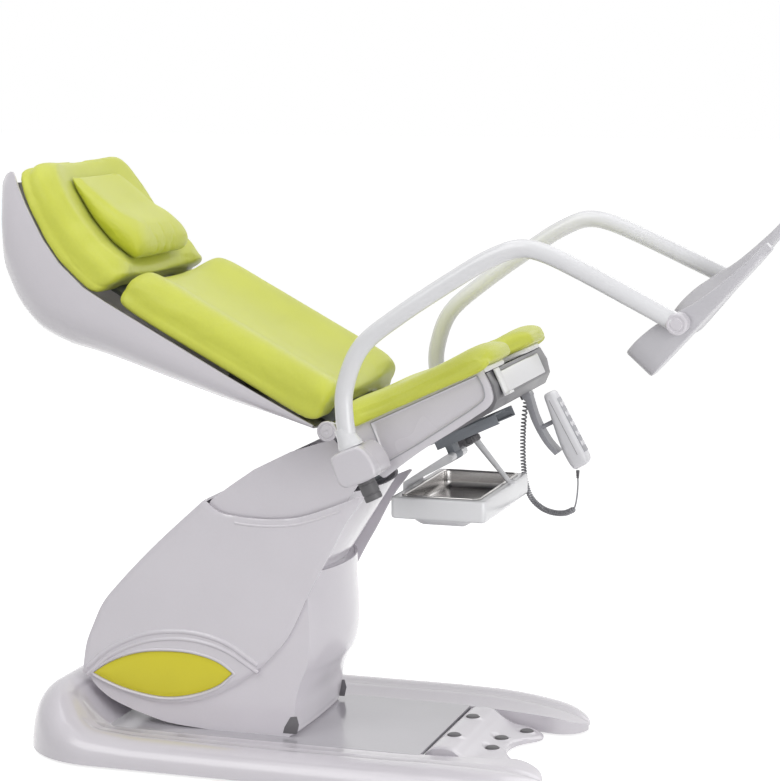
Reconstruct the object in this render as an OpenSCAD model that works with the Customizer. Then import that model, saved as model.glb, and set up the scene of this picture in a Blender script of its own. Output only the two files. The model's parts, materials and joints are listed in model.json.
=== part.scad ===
// Gynecological chair: horseshoe base, slanted lift column, tilting seat, hinged back,
// two leg supports with foot plates, basin tray and wired handset.
// +X points to the foot end, +Y to the left as seen from the backrest, +Z up, and the floor is Z = 0.

/* [Base] */
// Length of the base from its rear edge to the tips of its prongs
base_len = 1180; // [1100:10:1260]
// Distance from the origin back to the rear edge of the base
base_rear = 620; // [580:10:660]
// Width of the base at the floor
base_w = 756; // [720:4:800]
// Height of the rim along the sides
rim_h = 58; // [54:1:64]
// Height of the rim at the back
rim_rear_h = 140; // [125:1:150]
// Width of each prong at the floor
prong_w = 176; // [160:2:184]
// Top of the floor between the rims
deck_z = 44; // [40:1:48]
// Diameter of the floor pads
pad_d = 64; // [50:1:80]
// Travel of a foot button
button_travel = 4; // [3:0.5:5]

/* [Column] */
// Length of the frame that the column's side outlines are drawn in
column_len = 600; // [570:5:630]
// Height of the frame that the column's side outlines are drawn in
column_h = 750; // [735:5:765]
// Distance between the outer faces of the two side shells
column_w = 342; // [330:2:350]
// Angle of the lift's travel above the floor
lift_angle = 58; // [57:0.5:59]
// Upward travel of the lift
lift_up = 250; // [150:10:250]
// Downward travel of the lift
lift_down = 80; // [20:10:80]
// Outer depth of the guide mast, along its slant's normal
mast_d = 110; // [104:2:120]
// Outer width of the guide mast
mast_w = 130; // [124:2:140]

/* [Seat] */
// Width across the seat and back cushions
seat_w = 510; // [480:5:540]
// Distance from the pivot to the front of the seat cushion
seat_len = 408; // [390:2:430]
// Thickness of the seat cushion at its crown
seat_pad_t = 50; // [44:1:56]
// Angle of the seat above level, with its front up
seat_tilt = 25; // [24:0.5:26]
// Height of the common pivot of seat and back
pivot_z = 744; // [738:2:750]
// Distance of the common pivot in front of the origin
pivot_x = 92; // [88:1:96]
// Diameter of the pivot shaft
shaft_d = 30; // [26:1:32]
// Travel of the pull-out leaf
leaf_travel = 200; // [100:10:220]

/* [Back] */
// Length of the back section, from the pivot to the head section
back_len = 575; // [550:5:600]
// Length of the head section
head_len = 350; // [330:5:370]
// Thickness of the back cushion at its sides
back_pad_t = 80; // [70:1:90]
// Angle of the back above level
back_rise = 28; // [26:1:30]
// Angle of the head section's top end from the back
head_rise = 31; // [28:1:33]
// Greatest depth of the back's shell below its rim
shell_depth = 175; // [160:5:185]

/* [Leg supports] */
// Distance between the centre lines of the two tubes
leg_pitch = 686; // [680:2:700]
// Diameter of the bent tubes
tube_d = 38; // [34:1:40]
// Reach of a tube from its bracket to its foot plate
leg_reach = 680; // [650:10:700]
// Height of a tube's top bend above its bracket
leg_rise = 410; // [390:10:430]
// How far the left support is raised above the right one
left_raise = 2.5; // [0:0.5:4]
// Length of a foot plate
foot_len = 350; // [330:5:360]
// Width of a foot plate
foot_w = 96; // [88:2:100]
// Angle of a foot plate's sole above level
foot_angle = 48; // [44:1:52]

/* [Tray] */
// Length of the tray along the seat
tray_len = 210; // [200:2:216]
// Width of the tray
tray_w = 370; // [350:5:374]
// Height of the tray's side
tray_h = 47; // [42:1:52]
// Height of the tray's rim above the floor
tray_z = 600; // [596:1:602]
// Depth of the basin
basin_h = 38; // [32:1:40]
// Diameter of the lock knob
knob_d = 36; // [30:1:40]

/* [Handset] */
// Length of the handset
handset_len = 172; // [160:2:178]
// Width of the handset
handset_w = 50; // [44:1:56]
// Thickness of the handset
handset_t = 26; // [22:1:28]
// Outer diameter of the coiled cord
coil_d = 14; // [13:0.5:15]
// Thickness of the cord
cord_d = 4; // [3.5:0.1:4.4]
// Number of curls of the coiled cord
curl_count = 58; // [30:1:60]

/* [Fits] */
// Wall of the moulded casings
skin = 5; // [4:0.5:6]
// Gap between neighbouring pieces
gap = 0.3; // [0.2:0.05:0.5]
// Radial clearance of shafts and pins
fit = 0.05; // [0.02:0.01:0.1]
// Thickness of the steel plates
plate = 10; // [8:1:12]

/* [Hidden] */
$fn = 48;
cut = 1;
big = base_len;
hull_fn = 32;

// Rings of points joined into one closed solid; strip_caps closes the ends of channel sections.
// The faces are turned over where the rings run the other way round.
module loft(rings, strip_caps = false) {
    n = len(rings[0]);
    m = len(rings);
    sides = [for (j = [0:m - 2], i = [0:n - 1])
        each [[j*n + i, (j + 1)*n + i, j*n + (i + 1)%n],
              [j*n + (i + 1)%n, (j + 1)*n + i, (j + 1)*n + (i + 1)%n]]];
    last = (m - 1)*n;
    fan = [for (i = [1:n - 2]) each [[0, i, i + 1], [last, last + i + 1, last + i]]];
    h = n/2;
    strip = [for (i = [0:h - 2]) each [
        [i, i + 1, n - 1 - i], [i + 1, n - 2 - i, n - 1 - i],
        [last + i, last + n - 1 - i, last + i + 1], [last + i + 1, last + n - 1 - i, last + n - 2 - i]]];
    points = [for (r = rings) each r];
    all = concat(sides, strip_caps ? strip : fan);
    volume = [for (f = all) points[f[0]]*cross(points[f[1]], points[f[2]])]*[for (f = all) 1];
    polyhedron(points, volume > 0 ? [for (f = all) [f[2], f[1], f[0]]] : all);
}

// Point on the smooth curve through the given points, u running from 0 to their number less one
function on_curve(p, u) =
    let (n = len(p), i = min(floor(u), n - 2), t = u - i,
         a = p[max(i - 1, 0)], b = p[i], c = p[i + 1], d = p[min(i + 2, n - 1)])
    0.5*((2*b) + (c - a)*t + (2*a - 5*b + 4*c - d)*t*t + (3*b - a - 3*c + d)*t*t*t);
function curve(p, steps) = [for (i = [0:steps]) on_curve(p, (len(p) - 1)*i/steps)];
function unit(v) = v/norm(v);
function ahead(p, i) = unit(p[min(i + 1, len(p) - 1)] - p[max(i - 1, 0)]);

// Rings round a path, with sides points each; the frame is carried along the path without twist
function next_side(side, t) = unit(side - (side*t)*t);
function sides_of(p, i, side) =
    i == len(p) ? [] : let (s = next_side(side, ahead(p, i))) concat([s], sides_of(p, i + 1, s));
function tube_rings(p, r, sides, start = [0, 1, 0]) =
    let (s = sides_of(p, 0, start))
    [for (i = [0:len(p) - 1])
        let (a = s[i], b = cross(ahead(p, i), a), rr = is_list(r) ? r[i] : r)
        [for (k = [0:sides - 1]) p[i] + rr*(cos(-360*k/sides)*a + sin(-360*k/sides)*b)]];

module mirror_left(left) {
    mirror([0, left ? 1 : 0, 0]) children();
}
// Flat outline in the X-Z plane between two distances from the middle plane, on the right side
module side_plate(outline, inner, outer) {
    translate([0, -inner, 0]) rotate([90, 0, 0]) linear_extrude(outer - inner) polygon(outline);
}
module across(outline, half) {
    translate([0, half, 0]) rotate([90, 0, 0]) linear_extrude(2*half) polygon(outline);
}
module rod_y(d, half, x = 0, z = 0, $fn = $fn) {
    translate([x, half, z]) rotate([90, 0, 0]) cylinder(d = d, h = 2*half);
}
// Places with their own axes: the lift's slant, the seat's plane and the back's plane
module along_lift() translate([mast_x, 0, mast_z]) rotate([0, 90 - lift_angle, 0]) children();
module in_seat() translate([pivot_x, 0, pivot_z]) rotate([0, -seat_tilt, 0]) children();
module in_back() translate([pivot_x, 0, pivot_z]) rotate([0, back_rise, 0]) children();
function seat_point(u, w) =
    [pivot_x + u*cos(seat_tilt) - w*sin(seat_tilt), pivot_z + u*sin(seat_tilt) + w*cos(seat_tilt)];

// Base
base_front = base_len - base_rear;
base_half = base_w/2;
rim_corner_r = 200;
floor_gap = 6;
pad_h = 10;
deck_front = 285;
prong_bend = 60;
rim_profile_shares = [[0, 0, 0], [0.02, 0.3, 0], [0.08, 0.66, 0], [0.19, 0.9, 0], [0.33, 1, 0],
    [0.47, 0.97, 0], [0.68, 0.55, 1], [0.88, 0.18, 1], [1, 0, 1], [1, 0, 2]];
// Height of the rim from the prong tips to the rear, as a share of the way between two heights
rim_tip_share = 0.56;
function rim_height(x) =
    let (t = (x + base_rear)/base_len)
    t > 0.8 ? rim_h*lookup(t, [[0.8, 1], [0.86, 0.94], [0.95, 0.74], [1, rim_tip_share]])
    : rim_h + (rim_rear_h - rim_h)*lookup(t, [[0, 1], [0.03, 0.88], [0.058, 0.66], [0.1, 0.34], [0.16, 0.12], [0.24, 0.02], [0.4, 0]]);
function prong_in(x) =
    prong_bend*lookup((x + base_rear)/base_len, [[0.72, 0], [0.83, 0.2], [0.93, 0.6], [1, 1]]);
// Share of the prong's full section left near its rounded tip
function tip_share(x) =
    let (d = max(base_front - x, 0)/(prong_w/2)) d >= 1 ? 1 : max(sqrt(1 - (1 - d)*(1 - d)), 0.12);
function rim_section(c, n, h, k, inset) =
    [for (s = rim_profile_shares)
        let (full = prong_w/2 - inset,
             top = s.z == 0 ? floor_gap + (h - floor_gap)*s.y : deck_z + (h - deck_z)*s.y,
             low = min(top, h), z = s.z == 2 ? floor_gap : max(low*(0.6 + 0.4*k) - inset, floor_gap))
        [c.x + n.x*full*(1 - 2*s.x)*k, c.y + n.y*full*(1 - 2*s.x)*k, z]];
function rim_ring(c, n, h, k) =
    let (o = rim_section(c, n, h, k, 0), i = rim_section(c, n, h, k, skin))
    concat(o, [for (j = [len(i) - 1:-1:0]) i[j]]);
prong_steps = [0, 0.05, 0.15, 0.3, 0.6, 1, 1.6, 2.4, 3.4, 4.4, 5.6, 6.8, 8, 9.2, 10.4];
rim_right = concat(
    [for (s = prong_steps) if (base_front - s*prong_w/2 > rim_corner_r - base_rear)
        let (x = base_front - s*prong_w/2)
        rim_ring([x, -base_half + prong_w/2 + prong_in(x)], [0, -1], rim_height(x), tip_share(x))],
    [for (a = [270:-11.25:180])
        let (n = [cos(a), sin(a)], r = rim_corner_r - prong_w/2,
             c = [rim_corner_r - base_rear + r*n.x, rim_corner_r - base_half + r*n.y])
        rim_ring(c, n, rim_height(c.x + n.x*prong_w/2), 1)],
    [rim_ring([prong_w/2 - base_rear, 0], [-1, 0], rim_rear_h, 1)]);
rim_left = [for (j = [len(rim_right) - 2:-1:0]) [for (p = rim_right[j]) [p.x, -p.y, p.z]]];
module base_cover() color("gainsboro") {
    difference() {
        loft(concat(rim_right, rim_left), true);
        translate([-base_rear - skin, -socket_w/2 - gap, socket_low - gap])
            cube([socket_d, socket_w + 2*gap, socket_h + 2*gap]);
        cross_bars(gap/2);
    }
    deck_half = base_half - prong_w + skin/2;
    difference() {
        translate([prong_w - base_rear - skin/2, -deck_half, deck_z - skin])
            cube([deck_front + base_rear - prong_w, 2*deck_half, skin]);
        translate([mast_x - mast_foot/2, -mast_foot/2, 0])
            cube([mast_foot, mast_foot, big]);
    }
}
// Mains socket in the rear wall of the rim
socket_x = -base_rear + skin;
socket_w = 84;
socket_low = 26;
socket_h = 34;
socket_d = 44;
rocker_w = 20;
rocker_y = socket_w/2 - rocker_w/2 - skin;
rocker_z = socket_low + socket_h/2;
module mains_inlet() color("dimgray") difference() {
    translate([socket_x, -socket_w/2, socket_low]) cube([socket_d, socket_w, socket_h]);
    translate([socket_x - cut, skin - socket_w/2, socket_low + skin])
        cube([socket_d - 2*skin, socket_w - rocker_w - 4*skin, socket_h - 2*skin]);
    translate([socket_x - cut, rocker_y - rocker_w/2 - gap, rocker_z - socket_h/2 + skin - gap])
        cube([socket_h/2 + skin, rocker_w + 2*gap, socket_h - 2*skin + 2*gap]);
}
rocker_d = socket_h - 2*skin - 2*gap;
module mains_switch() color("black") {
    translate([socket_x + rocker_d/3, rocker_y + rocker_w/2, rocker_z]) rotate([90, 0, 0]) intersection() {
        cylinder(d = rocker_d, h = rocker_w);
        translate([-rocker_d/2, -rocker_d/2, 0]) cube([rocker_d*0.7, rocker_d, rocker_w]);
    }
}

mast_foot = 190;
beam_w = 50;
beam_y = base_half - prong_w/2 - beam_w/2;
beam_h = deck_z - skin - pad_h - gap;
beam_from = rim_corner_r/2 - base_rear;
beam_len = base_len - rim_corner_r - prong_w/2;
// One bar of the frame on the floor pads, grown all round by the clearance that its cover keeps
module frame_bar_at(x, len, h, half, room) {
    translate([x - room, -half - room, pad_h - room]) cube([len + 2*room, 2*(half + room), h + 2*room]);
}
module cross_bars(room) {
    frame_bar_at(mast_x - mast_foot, pad_d/2 - mast_x + mast_foot, plate, beam_y, room);
    frame_bar_at(beam_from, beam_w, beam_h, beam_y, room);
    frame_bar_at(panel_back, beam_w, plate, beam_y, room);
    frame_bar_at(deck_front - beam_w, beam_w/2, beam_h, beam_y, room);
}
module base_frame() color("slategray") {
    cross_bars(0);
    for (s = [-1, 1])
        translate([beam_from, s*beam_y - (s < 0 ? 0 : beam_w), pad_h]) cube([beam_len, beam_w, beam_h/2]);
}
module floor_pads() color("dimgray") {
    x_rear = beam_from + pad_d/2;
    x_front = beam_from + beam_len - pad_d/2;
    cylinder(d = pad_d, h = pad_h);
    for (x = [x_rear, x_front], s = [-1, 1])
        translate([x, s*(beam_y - beam_w/2), 0]) cylinder(d = beam_w, h = pad_h);
}

// Foot panel between the prongs, sloping down to the front
panel_back = 286;
panel_front = 428;
panel_side_gap = 31;
panel_half = base_w/2 - prong_w - panel_side_gap;
panel_h = 50;
button_d = 30;
button_l = 38;
// Rear pair, front middle pair and front outer pair, as shares of the panel's length and half width
button_place_shares = [[0.28, -0.44], [0.28, 0.44], [0.82, -0.23], [0.82, 0.23], [1.08, -0.71], [1.08, 0.71]];
panel_len = panel_front - panel_back;
panel_top_shares = [[0, 0.66], [0.14, 0.94], [0.28, 1], [0.42, 0.94], [0.6, 0.62], [0.8, 0.36], [1.08, 0.27], [1.4, 0.14]];
function panel_top(t) = floor_gap + panel_h*lookup(t, panel_top_shares);
panel_side_shares = [[0, 0.97], [0.12, 1], [0.8, 0.99], [1.14, 0.93], [1.32, 0.8], [1.36, 0.66], [1.3, 0.54],
    [1.14, 0.38], [1.04, 0.22], [1, 0]];
panel_shares = concat(panel_side_shares,
    [for (j = [len(panel_side_shares) - 2:-1:0]) [panel_side_shares[j].x, -panel_side_shares[j].y]]);
module panel_plan() polygon([for (s = panel_shares) [panel_back + s.x*panel_len, s.y*panel_half]]);
module foot_panel() color("gainsboro") difference() {
    over = pad_h + plate + gap;
    intersection() {
        linear_extrude(big) panel_plan();
        across([for (t = panel_top_shares) [panel_back + t.x*panel_len, panel_top(t.x)],
            [panel_back + 1.4*panel_len, floor_gap], [panel_back + beam_w + gap, floor_gap],
            [panel_back + beam_w + gap, over], [panel_back, over]], panel_half + cut);
    }
    for (i = [0:5]) button_at(i) translate([0, 0, -button_l]) cylinder(d = button_d + 2*gap, h = 2*button_l);
}
function button_x(i) = panel_back + button_place_shares[i].x*panel_len;
module button_at(i)
    translate([button_x(i), button_place_shares[i].y*panel_half, panel_top(button_place_shares[i].x)])
        children();
module foot_button(i) color("dimgray") button_at(i) intersection() {
    translate([0, 0, -button_travel - 2*gap - skin]) cylinder(d = button_d, h = 4*button_travel);
    translate([0, 0, button_travel - button_d]) sphere(r = button_d + gap);
}
module foot_button_1() foot_button(0);
module foot_button_2() foot_button(1);
module foot_button_3() foot_button(2);
module foot_button_4() foot_button(3);
module foot_button_5() foot_button(4);
module foot_button_6() foot_button(5);

// Column: outlines are shares of the frame that starts at column_back on the floor
column_back = -520;
function cp(s) = [column_back + s.x*column_len, s.y*column_h];
leaf_wall = 8;
leaf_out = column_w/2;
leaf_in = leaf_out - leaf_wall;
leaf_rear_shares = [[0, 0.205], [0.006, 0.245], [0.018, 0.297], [0.045, 0.352], [0.088, 0.423], [0.16, 0.492],
    [0.3, 0.608], [0.497, 0.753]];
leaf_arc_shares = [[0.558, 0.72], [0.64, 0.71], [0.715, 0.707], [0.79, 0.71], [0.87, 0.72], [1, 0.757],
    [1.115, 0.797]];
leaf_front_shares = [[1.125, 0.795], [1.05, 0.712], [0.985, 0.614], [0.94, 0.55], [0.895, 0.48], [0.861, 0.42],
    [0.812, 0.348], [0.763, 0.302], [0.714, 0.262], [0.635, 0.215], [0.556, 0.178], [0.456, 0.146],
    [0.355, 0.133], [0.254, 0.137], [0.153, 0.159], [0.02, 0.198]];
almond_shares = [[0.044, 0.206], [0.098, 0.236], [0.155, 0.259], [0.237, 0.28], [0.338, 0.29], [0.445, 0.289],
    [0.547, 0.269], [0.606, 0.239], [0.546, 0.198], [0.441, 0.164], [0.33, 0.15], [0.189, 0.164], [0.092, 0.188]];
module side_shell(left) color("gainsboro") mirror_left(left) difference() {
    side_plate([for (s = concat(leaf_rear_shares, leaf_arc_shares, leaf_front_shares)) cp(s)], leaf_in, leaf_out);
    side_plate([for (s = almond_shares) cp(s)], leaf_out - leaf_wall/2, leaf_out + cut);
}
module side_shell_right() side_shell(false);
module side_shell_left() side_shell(true);
almond_mid_share = [0.33, 0.22];
module accent_insert(left) color("yellowgreen") mirror_left(left) {
    m = cp(almond_mid_share);
    side_plate([for (s = almond_shares) let (p = cp(s)) p - unit(p - m)*2*gap],
        leaf_out - leaf_wall/2, leaf_out + gap);
}
module accent_insert_right() accent_insert(false);
module accent_insert_left() accent_insert(true);
// Inner line of the rear cover, drawn in from the outline towards the column's middle
rear_line = [for (s = leaf_rear_shares) cp(s)];
rear_in = [for (p = rear_line) p + [skin, -skin]];
module rear_cover() color("gainsboro")
    across(concat(rear_line, [for (i = [len(rear_in) - 1:-1:0]) rear_in[i]]), leaf_in);

// Plan ring of a column casing at height z: straight sides, and a bowed front
bow = 44;
bow_steps = 8;
function plan_ring(x0, x1, half, b, z) = concat(
    [[x0, half, z]],
    [for (i = [0:bow_steps]) let (t = 1 - 2*i/bow_steps) [x1 + b*(1 - t*t), half*t, z]],
    [[x0, -half, z]]);
// Lower casing: height, rear end and front corner, as shares of the column's frame
skirt_shares = [[(deck_z + gap)/column_h, 0.5, 0.826], [0.07, 0.33, 0.834], [0.086, 0.25, 0.84],
    [0.104, 0.176, 0.844], [0.136, 0.085, 0.85], [0.186, 0.02, 0.858], [0.24, 0.012, 0.88], [0.277, 0.03, 0.9],
    [0.353, 0.055, 0.908], [0.427, 0.11, 0.906], [0.48, 0.16, 0.902], [0.553, 0.26, 0.9]];
bow_shares = [[0.06, 0.12], [0.16, 0.3], [0.24, 0.6], [0.35, 0.9], [0.48, 0.9]];
skirt_half = leaf_in - gap;
skirt_back = skin + gap;
function skirt_ring(s, t) =
    let (rear = cp([s[1], s[0]]), front = cp([s[2], s[0]]))
    plan_ring(rear.x + skirt_back + t, front.x - t/4, skirt_half - t, bow*lookup(s[0], bow_shares) - t*3/4, rear.y);
module front_skirt() color("silver") difference() {
    loft([for (s = skirt_shares) skirt_ring(s, 0)]);
    translate([0, 0, skin]) loft([for (s = skirt_shares) skirt_ring(s, skin)]);
    translate([0, 0, column_h*skirt_shares[11][0] - skin]) translate([-big/2, -big/2, 0]) cube([big, big, big]);
    translate([mast_x - mast_foot/2, -mast_foot/2, 0]) cube([mast_foot, mast_foot, column_h/4]);
}
// Upper casing, inside the side shells: height, rear end and front corner
upper_half = skirt_half - skin - 3*gap;
lip_z = column_h*0.553;
upper_shares = [[0.247, 0.43], [0.347, 0.32], [0.452, 0.288], [0.6, 0.395], [0.753, 0.512], [0.8, 0.59],
    [0.85, 0.68], [0.907, 0.82], [0.933, 0.917], [0.95, 0.985]];
function upper_front_x(z) =
    min(cp([0.875, 0]).x + (z - lip_z)/tan(lift_angle), cp([1.11, 0]).x - max(z - 0.848*column_h, 0)*0.9);
function upper_ring(s, t) =
    let (rear = cp([s[1], s[0]]))
    plan_ring(rear.x + skin + t + gap, upper_front_x(rear.y) - t, upper_half - t,
        bow*lookup(s[0], [[0.85, 0.8], [0.95, 0.1]]), rear.y);
module upper_shell() color("gainsboro") difference() {
    loft([for (s = upper_shares) upper_ring(s, 0)]);
    loft(concat([[for (p = upper_ring(upper_shares[0], skin)) p - [0, 0, big]]],
        [for (s = upper_shares) upper_ring(s, skin)]));
    translate([cp([0.72, 0]).x, -upper_half + skin/2, column_h*0.8]) cube([big, 2*upper_half - skin, big]);
}

// Lift: a rectangular mast, with the carriage and the motor's tube and rod inside
mast_x = -248;
mast_z = 80;
mast_wall = 6;
slide_gap = 4;
rail_d = mast_d - 2*mast_wall - 2*slide_gap;
rail_w = mast_w - 2*mast_wall - 2*slide_gap;
rail_wall = 5;
head_cap = 16;
boss_d = 48;
rail_from = lift_down + plate;
rail_to = (pivot_z - mast_z - 2*boss_d - head_cap - skin)/sin(lift_angle);
mast_len = rail_from + lift_up + mast_d;
lift_tube_d = 46;
lift_rod_d = 28;
rod_from = lift_down + 2*plate;
lift_tube_len = rod_from + lift_up + lift_rod_d;
module box_tube(d, w, wall, from, to) difference() {
    translate([-d/2, -w/2, from]) cube([d, w, to - from]);
    translate([wall - d/2, wall - w/2, from - cut]) cube([d - 2*wall, w - 2*wall, to - from + 2*cut]);
}
module above_frame() difference() {
    children();
    translate([-big/2, -big/2, pad_h + plate - big]) cube([big, big, big]);
}
module guide_mast() color("slategray")
    above_frame() along_lift() box_tube(mast_d, mast_w, mast_wall, -mast_d, mast_len);
module guide_pads() color("white") {
    along_lift() for (s = [-1, 1], e = [0, 1])
        translate([s*(mast_d/2 - mast_wall - slide_gap/2) - (slide_gap/2 - gap/2), -rail_w/4,
            mast_len - 2*slide_gap - 0.3*mast_len*e])
            cube([slide_gap - gap, rail_w/2, 2*slide_gap]);
}
module lift_motor() color("darkslategray") {
    block = rail_w - slide_gap;
    above_frame() along_lift() translate([-rail_d/2, -block/2, -mast_d]) cube([rail_d, block, mast_d - slide_gap]);
    along_lift() difference() {
        translate([0, 0, -2*slide_gap]) cylinder(d = lift_tube_d, h = lift_tube_len + 2*slide_gap);
        cylinder(r = lift_rod_d/2 + fit, h = lift_tube_len + cut);
    }
}
module carriage() color("silver") along_lift() box_tube(rail_d, rail_w, rail_wall, rail_from, rail_to);
module lift_rod() color("lightgray") along_lift() translate([0, 0, rod_from])
    cylinder(d = lift_rod_d, h = rail_to - rod_from);

// Carrier head: a cap on the carriage with two cheeks that hold the pivot shaft
cheek_in = 96;
cheek_t = 20;
module carrier_head() color("slategray") difference() {
    union() {
        along_lift() translate([-rail_d/2, -rail_w/2, rail_to]) cube([rail_d, rail_w, head_cap]);
        along_lift() translate([-rail_d/2, skin + gap - upper_half, rail_to])
            cube([rail_d*2/3, 2*(upper_half - skin - gap), head_cap]);
        for (s = [-1, 1]) translate([0, s*(cheek_in + cheek_t/2), 0]) {
            rod_y(boss_d, cheek_t/2, pivot_x, pivot_z);
            across([[pivot_x - boss_d/2, pivot_z], [pivot_x + boss_d/2, pivot_z],
                [head_x + rail_d/3, head_z], [head_x - rail_d/3, head_z]], cheek_t/2);
        }
    }
    rod_y(shaft_d + 2*fit, big/2, pivot_x, pivot_z);
}
head_x = mast_x + (rail_to + head_cap/2)*cos(lift_angle);
head_z = mast_z + (rail_to + head_cap/2)*sin(lift_angle);
hinge_cap_d = 44;
module tilt_shaft() color("silver") {
    rod_y(shaft_d, seat_w/2 - 4*skin, pivot_x, pivot_z);
    for (s = [-1, 1]) translate([0, s*(seat_w/2 - 3*skin), 0]) rod_y(hinge_cap_d, skin, pivot_x, pivot_z);
}

// Seat, in its own plane: u forwards from the pivot, w up from it
pan_low = -20;
pan_t = 11.5;
lug_gap = 4;
lug_in = cheek_in + cheek_t + lug_gap;
frame_t = 10;
lug_d = 44;
frame_len = 330;
leg_u = 74;
leg_w = -87;
beam_d = 32;
leg_half = leg_pitch/2;
bracket_in = seat_w/2 + 2*skin;
bracket_cover = 32;
bracket_out = leg_half + bracket_cover;
pin_d = 30;
beam_out = leg_half - pin_d/2 - skin;
frame_bar = 30;
module seat_frame() color("slategray") in_seat() difference() {
    union() {
        for (s = [-1, 1]) translate([0, s*(lug_in + frame_t/2), 0]) {
            rod_y(lug_d, frame_t/2);
            across([[0, pan_low], [frame_len, pan_low], [frame_len, 2.2*pan_low],
                [leg_u + beam_d, 2.2*pan_low], [leg_u + beam_d/2, leg_w - beam_d/3],
                [leg_u - beam_d/2, leg_w - beam_d/3], [leg_u - beam_d, 2.2*pan_low], [0, 1.05*pan_low]],
                frame_t/2);
        }
        for (u = [frame_len*0.4, frame_len - frame_bar])
            translate([u, -lug_in, 2*pan_low]) cube([frame_bar, 2*lug_in, -pan_low/2]);
        for (s = [-1, 1]) translate([0, s*(lug_in + beam_out)/2, 0])
            rod_y(beam_d, (beam_out - lug_in)/2, leg_u, leg_w);
    }
    rod_y(shaft_d + 2*fit, big/2);
}
// Outline of the seat in plan: two front lobes and the cut-out between them
notch_half = 70;
notch_len = 78;
lobe_fall = 24;
seat_dish = 10;
function seat_front(v, l) =
    l - notch_len*lookup(abs(v)/notch_half, [[0, 1], [0.6, 0.94], [0.9, 0.66], [1.15, 0.2], [1.4, 0]])
      - lobe_fall*lookup(abs(v)/(seat_w/2), [[0.7, 0], [0.85, 0.2], [1, 1]]);
seat_slices = 24;
pan_back = 40;
pan_half = seat_w/2 - 6*skin;
module seat_pan() color("white") in_seat() translate([0, 0, pan_low]) linear_extrude(pan_t)
    polygon(concat([[pan_back, -pan_half], [pan_back, pan_half]],
        [for (i = [0:seat_slices]) let (v = pan_half*(1 - 2*i/seat_slices)) [seat_front(v, seat_len - 6*skin), v]]));
// Cushion section along u at width v: a closed outline with a crowned top and drawn-in sides
cushion_u0 = 27;
pad_low = pan_low + pan_t + gap;
function edge_share(t) = sqrt(max(1 - pow(abs(t), 5), 0.05));
seat_outline_shares = [[0, 0.35], [0.015, 0.12], [0.05, 0], [0.35, 0], [0.65, 0], [0.93, 0], [0.985, 0.12],
    [1, 0.4], [0.985, 0.68], [0.94, 0.9], [0.87, 1], [0.7, 0.96], [0.5, 0.9], [0.3, 0.92], [0.13, 0.98],
    [0.06, 0.92], [0.02, 0.7]];
function seat_section(v) =
    let (k = edge_share(v/(seat_w/2)), f = seat_front(v, seat_len), l = f - cushion_u0,
         dish = seat_dish*(1 - pow(abs(v)/(seat_w/2), 2)))
    [for (s = seat_outline_shares)
        [cushion_u0 + l/2 + (s.x - 0.5)*l*(0.97 + 0.03*k), v,
         pad_low + (1 - k)*seat_pad_t*0.3 + s.y*(seat_pad_t*k - (s.x > 0.2 && s.x < 0.8 ? dish : dish/2))]];
module seat_cushion() color("yellowgreen") in_seat()
    loft([for (i = [0:seat_slices]) seat_section((2*i/seat_slices - 1)*seat_w/2)]);
// Side covers with a sunk panel
cover_t = 10;
cover_in = seat_w/2 - 5*skin;
seat_side_shares = [[0.085, -0.03], [0.21, -0.023], [0.895, -0.023], [0.902, -0.115], [0.885, -0.19],
    [0.843, -0.218], [0.78, -0.23], [0.635, -0.255], [0.414, -0.287], [0.18, -0.34], [0.135, -0.277]];
side_panel_shares = [[0.24, -0.05], [0.23, -0.09], [0.27, -0.137], [0.83, -0.132], [0.87, -0.1], [0.87, -0.05]];
module seat_side(left) color("lightgray") in_seat() mirror_left(left) difference() {
    union() {
        side_plate([for (s = seat_side_shares) s*seat_len], cover_in, cover_in + cover_t);
        translate([0, 0, pan_low]) side_plate([[frame_len*0.4, -skin - gap], [frame_len*0.4, -gap],
            [frame_len*0.8, -gap], [frame_len*0.8, -skin - gap]], lug_in + frame_t, cover_in + cut);
    }
    side_plate([for (s = side_panel_shares) s*seat_len], cover_in + cover_t - skin/2, seat_w);
    rod_y(beam_d + 4*gap, seat_w, leg_u, leg_w);
}
module seat_side_right() seat_side(false);
module seat_side_left() seat_side(true);
// Dark tub at the front: nose and floor, open at the top and back
tub_half = cover_in - gap;
tub_shares = [[0.5, -0.272], [0.5, -0.255], [0.83, -0.235], [0.86, -0.2], [0.865, -0.14], [0.865, -0.053],
    [0.905, -0.053], [0.915, -0.125], [0.9, -0.2], [0.85, -0.245]];
module seat_front_housing() color("dimgray") in_seat() difference() {
    union() {
        across([for (s = tub_shares) s*seat_len], tub_half);
        for (s = [-1, 1]) translate([0, s*(tub_half - skin/2), 0])
            across([[seat_len/2, -0.26*seat_len], [0.84*seat_len, -0.24*seat_len],
                [0.87*seat_len, pan_low - gap], [0.82*seat_len, pan_low - gap],
                [0.78*seat_len, -0.2*seat_len], [seat_len/2, -0.22*seat_len]], skin/2);
    }
    translate([0.8*seat_len, -leaf_half - gap, leaf_low - gap])
        cube([0.2*seat_len, 2*leaf_half + 2*gap, leaf_h + 2*gap]);
}
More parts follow.
